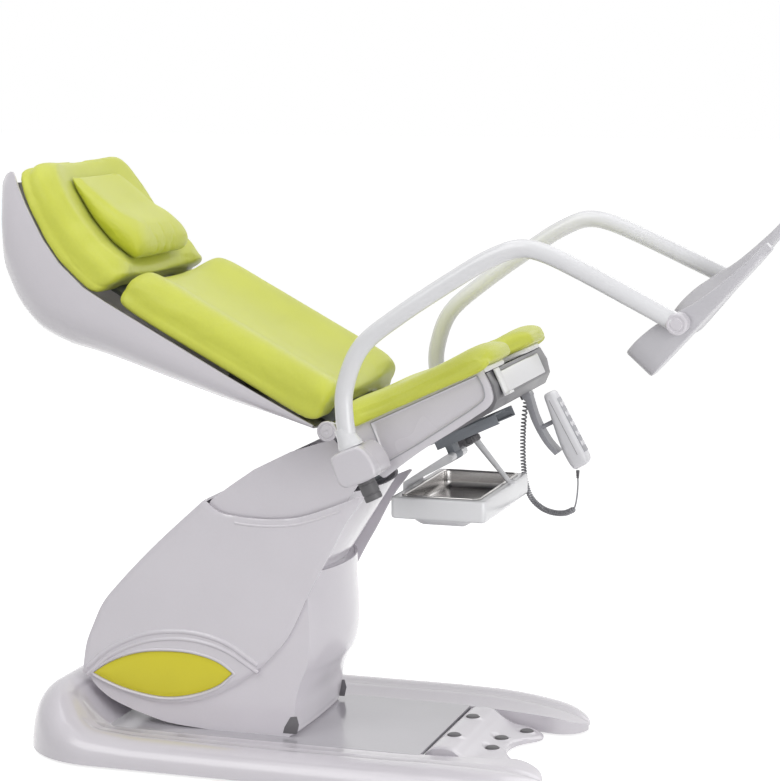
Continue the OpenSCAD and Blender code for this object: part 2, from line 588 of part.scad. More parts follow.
// Pull-out leaf behind its white front band, on two runners under the frame
leaf_half = 158;
leaf_low = -76;
leaf_h = 46;
leaf_t = 9;
band_t = 14;
leaf_end = 378;
leaf_keep = 70;
leaf_from = leaf_end - leaf_travel - leaf_keep;
module front_leaf() color("white") in_seat() {
    translate([leaf_end - band_t, -leaf_half, leaf_low]) cube([band_t, 2*leaf_half, leaf_h]);
    translate([leaf_from, gap - lug_in, 2*pan_low - gap - leaf_t])
        cube([leaf_end - leaf_from - band_t/2, 2*(lug_in - gap), leaf_t]);
}
guide_w = 34;
guide_u = 0.915*seat_len + gap;
module leaf_guide() color("white") in_seat() {
    translate([guide_u, -leaf_half - gap - guide_w, leaf_low - skin])
        cube([skin, guide_w, pan_low - gap - leaf_low + skin]);
    translate([guide_u, -leaf_half - gap - guide_w, leaf_low - skin]) cube([3*skin, guide_w, skin]);
}

// Leg support, right side: bracket on the cross beam, swivel pin square to the seat plane
bracket_shares = [[-0.54, -0.25], [-0.48, 0.42], [0.24, 0.42], [0.44, 0.1], [0.42, -0.4], [-0.34, -0.42]];
bracket_size = 88;
bracket_top = leg_w + 0.42*bracket_size;
bracket_low = leg_w - 0.42*bracket_size;
sleeve_len = 44;
raise_left = -left_raise;
module at_leg(left) mirror_left(left) in_seat() translate([leg_u, 0, leg_w])
    rotate([0, left ? raise_left : 0, 0]) translate([-leg_u, 0, -leg_w]) children();
module leg_bracket(left) color("gainsboro") at_leg(left) difference() {
    side_plate([for (s = bracket_shares) [leg_u, leg_w] + s*bracket_size], bracket_in, bracket_out);
    translate([leg_u, -beam_out - gap, leg_w]) rotate([-90, 0, 0]) cylinder(r = beam_d/2 + fit, h = seat_w);
    translate([leg_u, -leg_half, bracket_low - cut]) cylinder(r = pin_d/2 + fit, h = bracket_size);
}
module leg_bracket_right() leg_bracket(false);
module leg_bracket_left() leg_bracket(true);
module clamp_sleeve(left) color("dimgray") at_leg(left) difference() {
    translate([leg_u, -leg_half, bracket_low - sleeve_len]) cylinder(d = tube_d, h = sleeve_len);
    translate([leg_u, -leg_half, bracket_low - sleeve_len + skin]) cylinder(r = pin_d/2 + fit, h = sleeve_len);
}
module clamp_sleeve_right() clamp_sleeve(false);
module clamp_sleeve_left() clamp_sleeve(true);
// Tube centre line in the X-Z plane from the top of the bracket, as shares of reach and rise
tube_shares = [[-0.004, 0], [-0.019, 0.14], [-0.016, 0.3], [0.035, 0.5], [0.155, 0.665], [0.342, 0.87],
    [0.435, 0.96], [0.52, 1.01], [0.6, 0.99], [0.71, 0.91], [0.86, 0.785], [0.985, 0.68], [1.01, 0.66]];
tube_foot = seat_point(leg_u, bracket_top + skin);
tube_steps = 36;
tube_line = [for (p = curve([for (s = tube_shares)
    [tube_foot.x + s.x*leg_reach, -leg_half, tube_foot.y + s.y*leg_rise]], tube_steps)) p];
foot_pivot = [tube_foot.x + 0.995*leg_reach, tube_foot.y + 0.672*leg_rise];
foot_pin_d = 14;
foot_in = tube_d/2 + 2*gap;
module raised(left) mirror_left(left) translate([pivot_x, 0, pivot_z]) rotate([0, -seat_tilt, 0])
    translate([leg_u, 0, leg_w]) rotate([0, left ? raise_left : 0, 0]) translate([-leg_u, 0, -leg_w])
    rotate([0, seat_tilt, 0]) translate([-pivot_x, 0, -pivot_z]) children();
module leg_tube(left) color("whitesmoke") {
    raised(left) {
        loft(tube_rings(tube_line, tube_d/2, 14));
        translate([foot_pivot.x, -leg_half + foot_in + foot_w/4, foot_pivot.y]) rotate([90, 0, 0])
            cylinder(d = foot_pin_d, h = foot_w/4 + foot_in);
        translate([foot_pivot.x, -leg_half + foot_in - gap, foot_pivot.y]) rotate([90, 0, 0])
            cylinder(d = tube_d + skin, h = 2*foot_in - 2*gap);
    }
    at_leg(left) {
        translate([leg_u, -leg_half, bracket_low - sleeve_len + skin + gap])
            cylinder(d = pin_d, h = sleeve_len + bracket_size - 2*skin);
        hull() {
            translate([leg_u, -leg_half, bracket_top + gap]) cylinder(d = 1.4*tube_d, h = 2*skin, $fn = hull_fn);
            translate([leg_u, -leg_half, bracket_top + tube_d]) cylinder(d = tube_d, h = skin, $fn = hull_fn);
        }
    }
}
module leg_tube_right() leg_tube(false);
module leg_tube_left() leg_tube(true);
// Foot plate: a sole with a rim that is high round the heel, on the inner side of the tube
foot_y = leg_half - foot_in - foot_w/2 - gap;
heel_at = [-0.36, -0.09];
foot_wall = 9;
sole_t = 13;
foot_shares = [[0, 0.34, 0.2], [0.02, 0.62, 0.2], [0.08, 0.86, 0.2], [0.2, 0.95, 0.19], [0.36, 0.94, 0.15],
    [0.52, 1, 0.1], [0.7, 1, 0.07], [0.84, 0.88, 0.055], [0.94, 0.66, 0.05], [1, 0.3, 0.05]];
function foot_ring(s, t, low) =
    let (half = s.y*foot_w/2 - t, top = s.z*foot_len + (t > 0 ? cut : 0), x = s.x*foot_len)
    [[x, -half*0.86, low], [x, half*0.86, low], [x, half, low + skin], [x, half, top],
     [x, -half, top], [x, -half, low + skin]];
module foot_cup() difference() {
    loft([for (s = foot_shares) foot_ring(s, 0, 0)]);
    translate([foot_wall, 0, 0]) scale([1 - 2*foot_wall/foot_len, 1, 1])
        loft([for (s = foot_shares) foot_ring(s, foot_wall, sole_t)]);
}
module foot_plate(left) color("darkgray") raised(left)
    difference() {
        union() {
            translate([foot_pivot.x, -foot_y, foot_pivot.y]) rotate([0, -foot_angle, 0])
                translate([heel_at.x*foot_len, 0, heel_at.y*foot_len]) foot_cup();
            translate([foot_pivot.x, -leg_half + foot_in + foot_wall, foot_pivot.y]) rotate([90, 0, 0])
                cylinder(d = 2.2*foot_pin_d, h = foot_wall);
        }
        rod_y(foot_pin_d + 2*fit, big, foot_pivot.x, foot_pivot.y);
    }
module foot_plate_right() foot_plate(false);
module foot_plate_left() foot_plate(true);

// Tray under the seat: rails on the tub's floor, hanger, tray, basin and knob
rail_u0 = 150;
rail_u1 = 300;
rail_half = 66;
rail_top = -0.285*seat_len;
rail_h = 18;
rail_t = 6;
runner_t = 8;
module tray_rails() color("silver") in_seat() {
    for (s = [-1, 1]) {
        translate([rail_u0, s*(rail_half + rail_t) - (s > 0 ? rail_t : 0), rail_top - rail_h])
            cube([rail_u1 - rail_u0, rail_t, rail_h + skin]);
        translate([rail_u0, s*(rail_half + rail_t) - (s > 0 ? 2*rail_t : 0), rail_top - rail_h])
            cube([rail_u1 - rail_u0, 2*rail_t, rail_t/2]);
    }
    translate([rail_u0, -lug_in - frame_t, rail_top - gap]) cube([rail_h, 2*(lug_in + frame_t), skin + gap]);
    for (s = [-1, 1]) translate([rail_u0, s*(lug_in + frame_t/2) - frame_t/2, rail_top])
        cube([rail_h, frame_t, 2.2*pan_low - rail_top]);
    translate([rail_u1 - 2*rail_h, -rail_half - rail_t, rail_top]) cube([rail_h, 2*(rail_half + rail_t), skin]);
    for (s = [-1, 1]) translate([rail_u0, s*lug_in - (s > 0 ? rail_h : frame_t/2), 2*pan_low - 2*gap - leaf_t - skin])
        cube([rail_h, rail_h + frame_t/2, skin]);
}
runner_u0 = 158;
runner_len = 70;
arm_half = 60;
tray_x = 213;
rod_d = 16;
rod_y_at = 40;
rod_top = [331, 704];
hinge_u = 160;
hinge_w = -161;
hinge_d = 10;
hinge_half = 24;
hinge = seat_point(hinge_u, hinge_w);
runner_low = rail_top - rail_h + rail_t/2 + gap;
module tray_runner() color("silver") difference() {
    union() {
        in_seat() difference() {
            translate([runner_u0, gap - rail_half, runner_low]) cube([runner_len, 2*(rail_half - gap), runner_t]);
            translate([hinge_u + hinge_d, rod_y_at - plate, runner_low - cut]) cube([runner_len, 2*plate, runner_t + 2*cut]);
        }
        in_seat() translate([hinge_u - 0.8*hinge_d, skin/2 - hinge_half, hinge_w])
            cube([1.6*hinge_d, 2*hinge_half - skin, runner_low - hinge_w + cut]);
        rod_y(2*hinge_d, hinge_half, hinge.x, hinge.y);
    }
    rod_y(hinge_d + 2*fit, big/2, hinge.x, hinge.y);
}
// The hanger's pin turns in the runner, so the tray stays level as the seat tilts
module tray_hanger() color("whitesmoke") {
    half = (arm_half - hinge_half - gap)/2;
    back = tray_x - plate/2 - gap/2;
    rod_y(hinge_d, arm_half, hinge.x, hinge.y);
    for (s = [-1, 1]) translate([0, s*(arm_half - half), 0]) hull() {
        rod_y(2*hinge_d, half, hinge.x, hinge.y, $fn = hull_fn);
        rod_y(plate - gap, half, back, tray_z + plate*2/3, $fn = hull_fn);
    }
    translate([tray_x - plate, -arm_half, tray_z - tray_h - skin]) cube([plate - gap, 2*arm_half, tray_h + skin + plate*2/3]);
    translate([tray_x - plate, -arm_half, tray_z - tray_h - skin]) cube([tray_len, 2*arm_half, skin - gap]);
    hull() {
        translate([rod_top.x, rod_y_at, rod_top.y]) sphere(d = rod_d, $fn = 20);
        translate([tray_x + tray_len - rod_d/2, rod_y_at, tray_z + rod_d/3 + gap]) sphere(d = rod_d*2/3, $fn = 20);
    }
    brace = [tray_x + tray_len - rod_d/2, tray_z + rod_d/3 + gap];
    hull() {
        translate([brace.x, rod_y_at, brace.y]) sphere(d = rod_d*2/3, $fn = 20);
        translate([tray_x + tray_len + plate/2, rod_y_at, brace.y]) sphere(d = rod_d/2, $fn = 20);
    }
}
basin_gap = 22;
basin_wall = 1.5;
rim_lip = 5;
module tray() color("whitesmoke") {
    half = tray_w/2;
    difference() {
        translate([tray_x, -half, tray_z - tray_h]) cube([tray_len, tray_w, tray_h]);
        translate([tray_x + basin_gap - gap, -half + basin_gap - gap, tray_z - basin_h - gap])
            cube([tray_len - 2*basin_gap + 2*gap, tray_w - 2*basin_gap + 2*gap, tray_h]);
    }
    for (s = [-1, 1]) hull() {
        translate([tray_x + tray_len*0.2, s*(half + arm_half)/2 - arm_half/2, tray_z - tray_h - skin])
            cube([tray_len*0.6, arm_half, skin + cut]);
        translate([tray_x + tray_len*0.28, s*(half + arm_half)/2 - arm_half/3, tray_z - 1.36*tray_h])
            cube([tray_len*0.44, arm_half*2/3, skin]);
    }
}
module basin() color("silver") {
    half = tray_w/2 - basin_gap;
    l = tray_len - 2*basin_gap;
    difference() {
        union() {
            translate([tray_x + basin_gap, -half, tray_z - basin_h]) cube([l, 2*half, basin_h + skin/2]);
            translate([tray_x + basin_gap - rim_lip, -half - rim_lip, tray_z + gap])
                cube([l + 2*rim_lip, 2*half + 2*rim_lip, basin_wall]);
        }
        hull() {
            translate([tray_x + basin_gap + basin_wall, basin_wall - half, tray_z])
                cube([l - 2*basin_wall, 2*half - 2*basin_wall, skin]);
            translate([tray_x + basin_gap + basin_h/3, basin_h/3 - half, tray_z - basin_h + basin_wall])
                cube([l - 2*basin_h/3, 2*half - 2*basin_h/3, skin]);
        }
    }
}
knob_h = 20;
module tray_knob() color("black") in_seat()
    translate([runner_u0 + runner_len - knob_d/2, 0, rail_top - rail_h + rail_t/2 - knob_h]) {
        cylinder(d = knob_d, h = knob_h - skin);
        cylinder(d = knob_d/3, h = knob_h);
    }

// Back, in its own plane: s backwards from the pivot, so u = -s
back_lug_in = lug_in + frame_t + lug_gap;
back_half = seat_w/2 + 2*skin;
frame_s = 470;
head_plate_shares = [0.46, 0.6, 0.67, 0.753, 0.814, 0.893, 0.93];
module back_frame() color("slategray") in_back() difference() {
    union() {
        for (s = [-1, 1]) translate([0, s*(back_lug_in + frame_t/2), 0]) {
            rod_y(lug_d, frame_t/2);
            across([[0, -lug_d/4], [-frame_s, -lug_d/4], [-frame_s, lug_d/4], [0, lug_d/4]], frame_t/2);
        }
        for (s = [0.12, 0.5, 0.96]) translate([-frame_s*s, -back_lug_in - frame_t, lug_d/4 - plate])
            cube([frame_bar, 2*(back_lug_in + frame_t), plate]);
        across(concat([for (s = head_plate_shares) [-s*shell_len, line_low(s*shell_len)]],
            [for (j = [len(head_plate_shares) - 1:-1:0]) let (s = head_plate_shares[j]*shell_len)
                [-s - skin, line_low(s) - plate]]), back_lug_in + frame_t/2);
    }
    rod_y(shaft_d + 2*fit, big/2);
}
// Line that the head cushion's underside follows: flat along the back, then rising to the top end
line_shares = [[0.6, 0], [0.67, 0.015], [0.753, 0.153], [0.814, 0.342], [0.893, 0.677], [0.951, 0.96], [1, 1.19]];
function line_low(s) = rim_low + shell_len*0.25*tan(head_rise)*lookup(s/shell_len, line_shares);
function on_line(s, y, h) = [h*sin(head_rise) - s, y, line_low(s) + h*cos(head_rise)];
rim_low = -4;
// Moulded shell: distance from the pivot, half width, depth and drop of the rim, as shares
shell_shares = [[0.035, 0.93, 0.1, 0], [0.1, 0.96, 0.2, 0], [0.25, 1, 0.42, 0], [0.42, 1, 0.62, 0],
    [0.58, 1, 0.8, 0], [0.66, 1, 0.93, 0], [0.72, 1, 1.05, 0], [0.753, 0.997, 1.1, 0], [0.78, 0.995, 1.14, 0],
    [0.814, 0.989, 1.163, 0], [0.84, 0.985, 1.18, 0], [0.893, 0.97, 1.14, 0], [0.93, 0.95, 1, 0], [0.957, 0.92, 0.8, 0], [0.975, 0.87, 0.5, 0.12],
    [0.987, 0.8, 0.26, 0.26], [0.992, 0.72, 0.1, 0.34]];
shell_len = back_len + head_len;
shell_round = 8;
function tub_side(s, t) =
    let (x = -s[0]*shell_len, rim = line_low(s[0]*shell_len) - s[3]*shell_depth, half = s[1]*back_half - t,
         d = s[2]*shell_depth - t)
    [for (i = [0:shell_round]) let (a = 180*i/shell_round, c = cos(a), q = sin(a))
        [x, half*sign(c)*pow(abs(c), 0.6), rim - d*pow(q, 0.7)]];
function tub_ring(s) = let (o = tub_side(s, 0), i = tub_side(s, skin)) concat(o, [for (j = [shell_round:-1:0]) i[j]]);
module back_shell() color("gainsboro") in_back() {
    loft([for (s = shell_shares) tub_ring(s)], true);
    for (s = [-1, 1]) translate([0, s*(back_lug_in + frame_t + gap + skin/2), 0])
        across([[-0.3*shell_len, -skin], [-0.3*shell_len, -0.41*shell_depth], [-0.46*shell_len, -0.57*shell_depth],
            [-0.46*shell_len, -skin]], skin/2);
}
// Closed cushion outline at one place along the back, dished between raised sides
pad_shares = [[-1, 0.1], [-0.985, -0.1], [-0.94, -0.14], [-0.8, -0.14], [-0.64, -0.14], [-0.6, 0], [-0.28, 0],
    [0, 0], [0.28, 0], [0.6, 0], [0.64, -0.14], [0.8, -0.14], [0.94, -0.14], [0.985, -0.1], [1, 0.1],
    [1, 0.5], [0.97, 0.78], [0.88, 0.95], [0.78, 1], [0.66, 0.93], [0.5, 0.78], [0.28, 0.66], [0, 0.62],
    [-0.28, 0.66], [-0.5, 0.78], [-0.66, 0.93], [-0.78, 1], [-0.88, 0.95], [-0.97, 0.78], [-1, 0.5]];
function pad_ring(x, half, low, t, raise = 1) =
    [for (s = pad_shares) [x, s.x*half, low + t*(raise*s.y + (1 - raise)*min(s.y*2, 1)*0.8)]];
back_end_shares = [[0, 0.93, 0.45, 0.26], [0.012, 0.97, 0.75, 0.12], [0.04, 0.995, 0.93, 0.03], [0.1, 1, 1, 0],
    [0.3, 1, 1, 0], [0.5, 1, 1, 0], [0.7, 1, 1, 0], [0.88, 0.99, 1, 0], [0.95, 0.985, 0.93, 0.02],
    [0.985, 0.96, 0.72, 0.1], [1, 0.92, 0.4, 0.26]];
back_pad_from = 24;
back_pad_low = lug_d/4 + gap;
back_pad_len = back_len - back_pad_from - 5*skin;
module back_cushion() color("yellowgreen") in_back()
    loft([for (s = back_end_shares) pad_ring(-back_pad_from - s[0]*back_pad_len, s[1]*(back_half - skin/2),
        back_pad_low + s[3]*back_pad_t, s[2]*back_pad_t)], true);
// The rows between the round shares lie where the line below the head section bends
head_end_shares = [[0, 0.95, 0.5, 0.3], [0.02, 0.98, 0.92, 0.1], [0.07, 1, 1.18, 0.02], [0.0992, 1, 1.194, 0.0155],
    [0.2, 1, 1.24, 0], [0.3553, 1, 1.17, 0], [0.4, 1, 1.15, 0], [0.5434, 0.989, 1.078, 0], [0.6, 0.985, 1.05, 0],
    [0.75, 0.97, 1, 0], [0.7871, 0.961, 0.985, 0], [0.87, 0.94, 0.95, 0], [0.94, 0.89, 0.86, 0.03],
    [0.9661, 0.844, 0.756, 0.076], [0.98, 0.82, 0.7, 0.1], [1, 0.74, 0.45, 0.22]];
function head_row(share, k) = lookup(share, [for (s = head_end_shares) [s[0], s[k]]]);
head_pad_t = 0.95*back_pad_t;
head_from = back_len + 3*skin;
head_pad_len = 0.962*shell_len - head_from;
head_half = back_half - skin/2;
module head_cushion() color("yellowgreen") in_back()
    loft([for (s = head_end_shares)
        [for (p = pad_ring(0, s[1]*head_half, gap + s[3]*head_pad_t, s[2]*head_pad_t, 0.8))
            on_line(head_from + s[0]*head_pad_len, p.y, max(p.z, gap))]], true);
// Height of the head cushion's dished top at a share of its length and a distance from the middle
function head_top(share, y) =
    head_pad_t*(head_row(share, 3) + head_row(share, 2)
        *lookup(abs(y)/(head_half*head_row(share, 1)), [[0, 0.656], [0.28, 0.688], [0.5, 0.784], [0.66, 0.904]]))
    + 2*gap;
// Neck pillow: place along its length, width, thickness and lift of its underside, as shares
pillow_w = 290;
pillow_shares = [[0, 0.9, 0.3, 0.14], [0.04, 0.97, 0.62, 0.04], [0.13, 1, 0.86, 0], [0.29, 1, 1, 0],
    [0.6, 0.98, 0.68, 0], [0.88, 0.92, 0.36, 0], [0.97, 0.86, 0.22, 0.02], [1, 0.78, 0.1, 0.04]];
pillow_round_shares = [[-0.75, 0], [-0.4, 0], [0, 0], [0.4, 0], [0.75, 0], [0.95, 0.2], [1, 0.5], [0.94, 0.8],
    [0.75, 0.97], [0.4, 1.04], [0, 1.06], [-0.4, 1.04], [-0.75, 0.97], [-0.94, 0.8], [-1, 0.5], [-0.95, 0.2]];
pillow_len = 220;
pillow_t = 80;
pillow_from = 40;
pillow_cuts = [0, 0.04, 0.0908, 0.13, 0.29, 0.3024, 0.3634, 0.5589, 0.636, 0.8404, 0.891, 0.97, 1];
pillow_rings = [for (c = pillow_cuts) [for (k = [0:3]) lookup(c, [for (s = pillow_shares) [s[0], s[k]]])]];
module neck_pillow() color("yellowgreen") in_back()
    loft([for (s = pillow_rings) let (at = pillow_from + s[0]*pillow_len)
        [for (q = pillow_round_shares) let (y = q.x*s[1]*pillow_w/2)
            on_line(head_from + at, y, head_top(at/head_pad_len, y) + pillow_t*(s[3] + s[2]*q.y*(1 - s[3])))]]);

// Handset on its curved holder, on the left of the seat's front, and its cord
handset_y = 95;
handset_top = [491, 800];
handset_lean = 29;
handset_bulge = 20;
peg_d = 10;
holder_shares = [[-0.275, -0.05], [-0.17, -0.36], [-0.02, -0.62], [0.13, -0.78]];
holder_line = [for (p = curve([for (s = holder_shares)
    [handset_top.x + s.x*handset_len, handset_y, handset_top.y + s.y*handset_len]], 10)) p];
module in_handset() translate([handset_top.x, handset_y, handset_top.y]) rotate([0, -handset_lean, 0]) children();
// A place on the underside of the dark tub's floor
tub_lean = atan(0.027/0.35);
function tub_low(u) = -seat_len*(0.272 - (u/seat_len - 0.5)*tan(tub_lean));
module under_tub(u) in_seat() translate([u, 0, tub_low(u) - gap]) rotate([0, -tub_lean, 0]) children();
module handset_holder() color("gray") {
    loft([for (i = [0:10]) let (p = holder_line[i], h = skin*(1.5 - 0.07*i), t = ahead(holder_line, i),
        n = [t.z, 0, -t.x], w = handset_w*(0.28 + 0.02*i))
        [p + n*h + [0, w, 0], p - n*h + [0, w, 0], p - n*h - [0, w, 0], p + n*h - [0, w, 0]]]);
    under_tub(0.825*seat_len) translate([-2*skin, handset_y - handset_w*0.3, -2*skin])
        cube([4*skin, handset_w*0.6, 2*skin]);
    in_handset() translate([-handset_t/2 - 0.55*handset_bulge - gap, 0, -0.36*handset_len]) rotate([0, -90, 0])
        cylinder(d = peg_d, h = 1.6*handset_bulge);
}
module handset() color("lightgray") in_handset() hull() {
    for (z = [-skin, skin - handset_len], y = [-1, 1], x = [-1, 1])
        translate([x*(handset_t/2 - skin), y*(handset_w/2 - skin), z]) sphere(r = skin, $fn = 16);
    for (y = [-1, 1]) translate([skin - handset_t/2 - handset_bulge, y*handset_w/4, -0.69*handset_len])
        sphere(r = skin, $fn = 16);
    translate([skin - handset_t/2 - 0.8*handset_bulge, 0, -1.02*handset_len]) sphere(r = skin, $fn = 16);
}
relief_line = [[556, 95, 628.5], [556.6, 95, 622], [557, 95, 616], [557, 95, 611]];
relief_shares = [1, 0.9, 0.78, 0.6];
module strain_relief() color("dimgray")
    loft(tube_rings(relief_line, [for (s = relief_shares) s*1.1*cord_d], 12));
lead_line = curve([[557, 95, 610.7], [557, 96, 596], [555, 99, 574], [551, 104, 553], [545, 112, 538]], 16);
module cord_lead() color("dimgray") loft(tube_rings(lead_line, cord_d/2 - gap, 8));
coil_line = curve([[544.7, 112.4, 537.6], [520, 132, 524], [486, 160, 518], [452, 188, 522], [424, 206, 540],
    [410, 212, 570], [404, 212, 610], [403, 208, 660], [406, 202, 712], [412.6, 198, 766]], 232);
module cord_coil() color("dimgray") loft(tube_rings(curls, cord_d/2, 6));
curl_r = (coil_d - cord_d)/2;
coil_sides = sides_of(coil_line, 0, [0, 1, 0]);
curls = [for (i = [0:8*curl_count])
    let (u = i/(8*curl_count)*(len(coil_line) - 1), j = min(floor(u), len(coil_line) - 2), t = u - j,
         p = coil_line[j]*(1 - t) + coil_line[j + 1]*t, a = unit(coil_sides[j]*(1 - t) + coil_sides[j + 1]*t),
         b = cross(ahead(coil_line, j), a), e = min(i, 8*curl_count - i)/8, r = curl_r*min(e, 1))
    p + r*(cos(45*i)*a + sin(45*i)*b)];
echo(coil_least_gap = min([for (i = [0:len(curls) - 7], j = [i + 6:min(i + 20, len(curls) - 1)])
    norm(curls[i] - curls[j])]) - cord_d);
socket_y = 198;
socket_u = 300;
module cord_socket() color("dimgray") under_tub(socket_u) translate([0, socket_y, -2*skin])
    cylinder(d = coil_d + 2*skin, h = 2*skin);

base_cover();
base_frame();
floor_pads();
foot_panel();
front_skirt();
side_shell_right();
side_shell_left();
rear_cover();
accent_insert_right();
accent_insert_left();
guide_mast();
guide_pads();
lift_motor();
mains_inlet();
mains_switch();
foot_button_1();
foot_button_2();
foot_button_3();
foot_button_4();
foot_button_5();
foot_button_6();
upper_shell();
carriage();
lift_rod();
carrier_head();
tilt_shaft();
seat_frame();
seat_pan();
seat_cushion();
seat_side_right();
seat_side_left();
seat_front_housing();
leaf_guide();
front_leaf();
tray_rails();
handset_holder();
cord_socket();
leg_bracket_right();
leg_bracket_left();
clamp_sleeve_right();
clamp_sleeve_left();
leg_tube_right();
leg_tube_left();
foot_plate_right();
foot_plate_left();
tray_runner();
tray_hanger();
tray();
basin();
tray_knob();
back_frame();
back_shell();
back_cushion();
head_cushion();
neck_pillow();
handset();
strain_relief();
cord_lead();
cord_coil();
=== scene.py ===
"""Looks of a gynecological examination chair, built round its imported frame.

Sizes are in millimetres in the classes and become metres when a mesh is made. The chair's own axes are
+X towards the foot end, +Y to the left as seen from the backrest and +Z up, with the floor at 0.
"""

from __future__ import annotations

import json
import logging
import math
from dataclasses import dataclass, field
from enum import Enum
from typing import Callable, Iterable, Sequence

import bmesh
import bpy
import numpy as np
from mathutils import Matrix, Vector
from mathutils.geometry import delaunay_2d_cdt

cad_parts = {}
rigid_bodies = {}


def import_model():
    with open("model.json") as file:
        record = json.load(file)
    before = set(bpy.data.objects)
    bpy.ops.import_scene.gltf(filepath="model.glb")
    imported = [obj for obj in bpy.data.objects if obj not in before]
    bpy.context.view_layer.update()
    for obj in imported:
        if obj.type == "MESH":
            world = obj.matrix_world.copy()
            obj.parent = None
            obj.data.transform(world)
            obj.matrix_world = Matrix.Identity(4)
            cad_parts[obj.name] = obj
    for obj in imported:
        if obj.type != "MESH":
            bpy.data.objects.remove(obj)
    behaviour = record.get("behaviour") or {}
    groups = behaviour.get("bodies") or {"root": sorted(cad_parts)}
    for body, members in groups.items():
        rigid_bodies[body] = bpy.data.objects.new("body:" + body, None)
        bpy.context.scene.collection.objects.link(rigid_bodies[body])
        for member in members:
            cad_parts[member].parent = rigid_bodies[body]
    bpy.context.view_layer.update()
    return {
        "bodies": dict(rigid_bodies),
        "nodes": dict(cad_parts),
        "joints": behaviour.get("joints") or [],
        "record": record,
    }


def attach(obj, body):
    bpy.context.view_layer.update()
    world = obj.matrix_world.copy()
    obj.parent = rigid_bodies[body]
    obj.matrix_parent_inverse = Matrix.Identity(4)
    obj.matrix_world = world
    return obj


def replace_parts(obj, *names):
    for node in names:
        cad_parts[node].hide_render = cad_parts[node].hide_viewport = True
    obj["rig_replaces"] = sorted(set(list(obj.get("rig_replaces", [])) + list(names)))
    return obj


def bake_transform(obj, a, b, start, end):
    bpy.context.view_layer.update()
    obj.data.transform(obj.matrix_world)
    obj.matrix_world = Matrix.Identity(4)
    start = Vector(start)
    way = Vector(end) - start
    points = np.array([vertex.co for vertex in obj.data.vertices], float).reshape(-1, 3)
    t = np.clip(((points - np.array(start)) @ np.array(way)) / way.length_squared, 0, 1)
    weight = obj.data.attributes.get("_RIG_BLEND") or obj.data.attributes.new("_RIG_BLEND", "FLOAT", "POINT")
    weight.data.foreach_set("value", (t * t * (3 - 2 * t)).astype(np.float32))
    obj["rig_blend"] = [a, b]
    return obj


MM = 0.001
LOG = logging.getLogger("chair")
Colour = tuple[float, float, float]
Point = tuple[float, float, float]
NODES: dict[str, bpy.types.Object] = {}


# ---------------------------------------------------------------- finishes
class Wire:
    """One socket of a shader tree, with arithmetic that adds Math nodes."""

    def __init__(self, tree: bpy.types.NodeTree, socket: bpy.types.NodeSocket) -> None:
        """Keeps the tree and the output socket that carries the value."""
        self.tree = tree
        self.socket = socket

    def joined(self, operation: str, other: Wire | float) -> Wire:
        """Adds a Math node.

        Args:
            operation: the node's operation.
            other: the second operand, a socket or a number.

        Returns:
            The node's result.
        """
        node = self.tree.nodes.new("ShaderNodeMath")
        node.operation = operation
        self.tree.links.new(self.socket, node.inputs[0])
        if isinstance(other, Wire):
            self.tree.links.new(other.socket, node.inputs[1])
        else:
            node.inputs[1].default_value = other
        return Wire(self.tree, node.outputs[0])

    def __add__(self, other: Wire | float) -> Wire:
        """Sum."""
        return self.joined("ADD", other)

    def __mul__(self, other: Wire | float) -> Wire:
        """Product."""
        return self.joined("MULTIPLY", other)

    def ramp(self, low: float, high: float) -> Wire:
        """Smooth step from 0 at low to 1 at high.

        Args:
            low: value that gives 0.
            high: value that gives 1.

        Returns:
            The stepped value.
        """
        node = self.tree.nodes.new("ShaderNodeMapRange")
        node.interpolation_type = "SMOOTHSTEP"
        for slot, value in zip(node.inputs[1:5], (low, high, 0.0, 1.0)):
            slot.default_value = value
        self.tree.links.new(self.socket, node.inputs[0])
        return Wire(self.tree, node.outputs[0])


def add_node(tree: bpy.types.NodeTree, kind: str, settings: dict | None = None, **inputs: object) -> bpy.types.Node:
    """Adds a node to a tree.

    Args:
        tree: the tree.
        kind: the node's type.
        settings: attributes that are set before the inputs.
        inputs: values, wires or output sockets, with _ for a blank in the socket's name.

    Returns:
        The new node.
    """
    node = tree.nodes.new(kind)
    for key, value in (settings or {}).items():
        setattr(node, key, value)
    for key, value in inputs.items():
        slot, source = node.inputs[key.replace("_", " ")], value.socket if isinstance(value, Wire) else value
        if isinstance(source, bpy.types.NodeSocket):
            tree.links.new(source, slot)
        else:
            slot.default_value = source
    return node


class Grain(Enum):
    """Fine surface of a finish."""

    PEEL = "sprayed or moulded gloss"
    SATIN = "fine moulded grain"
    LEATHER = "soft synthetic leather"
    BRUSHED = "brushed metal"
    POWDER = "powder coat"
    RUBBER = "matt rubber"


@dataclass(frozen=True)
class Finish:
    """One finish of the chair: its colour, gloss and fine surface."""

    name: str
    colour: Colour
    rough: float
    grain: Grain
    metal: float = 0.0
    coat: float = 0.0
    mottle: float = 0.03
    relief: float = 0.0002
    grain_size: float = 0.002
    sheen: float = 0.0

    def build(self) -> bpy.types.Material:
        """Makes the material once and gives it back.

        Returns:
            The material of this finish.
        """
        found = bpy.data.materials.get(self.name)
        return found if found else Painter(self).paint()


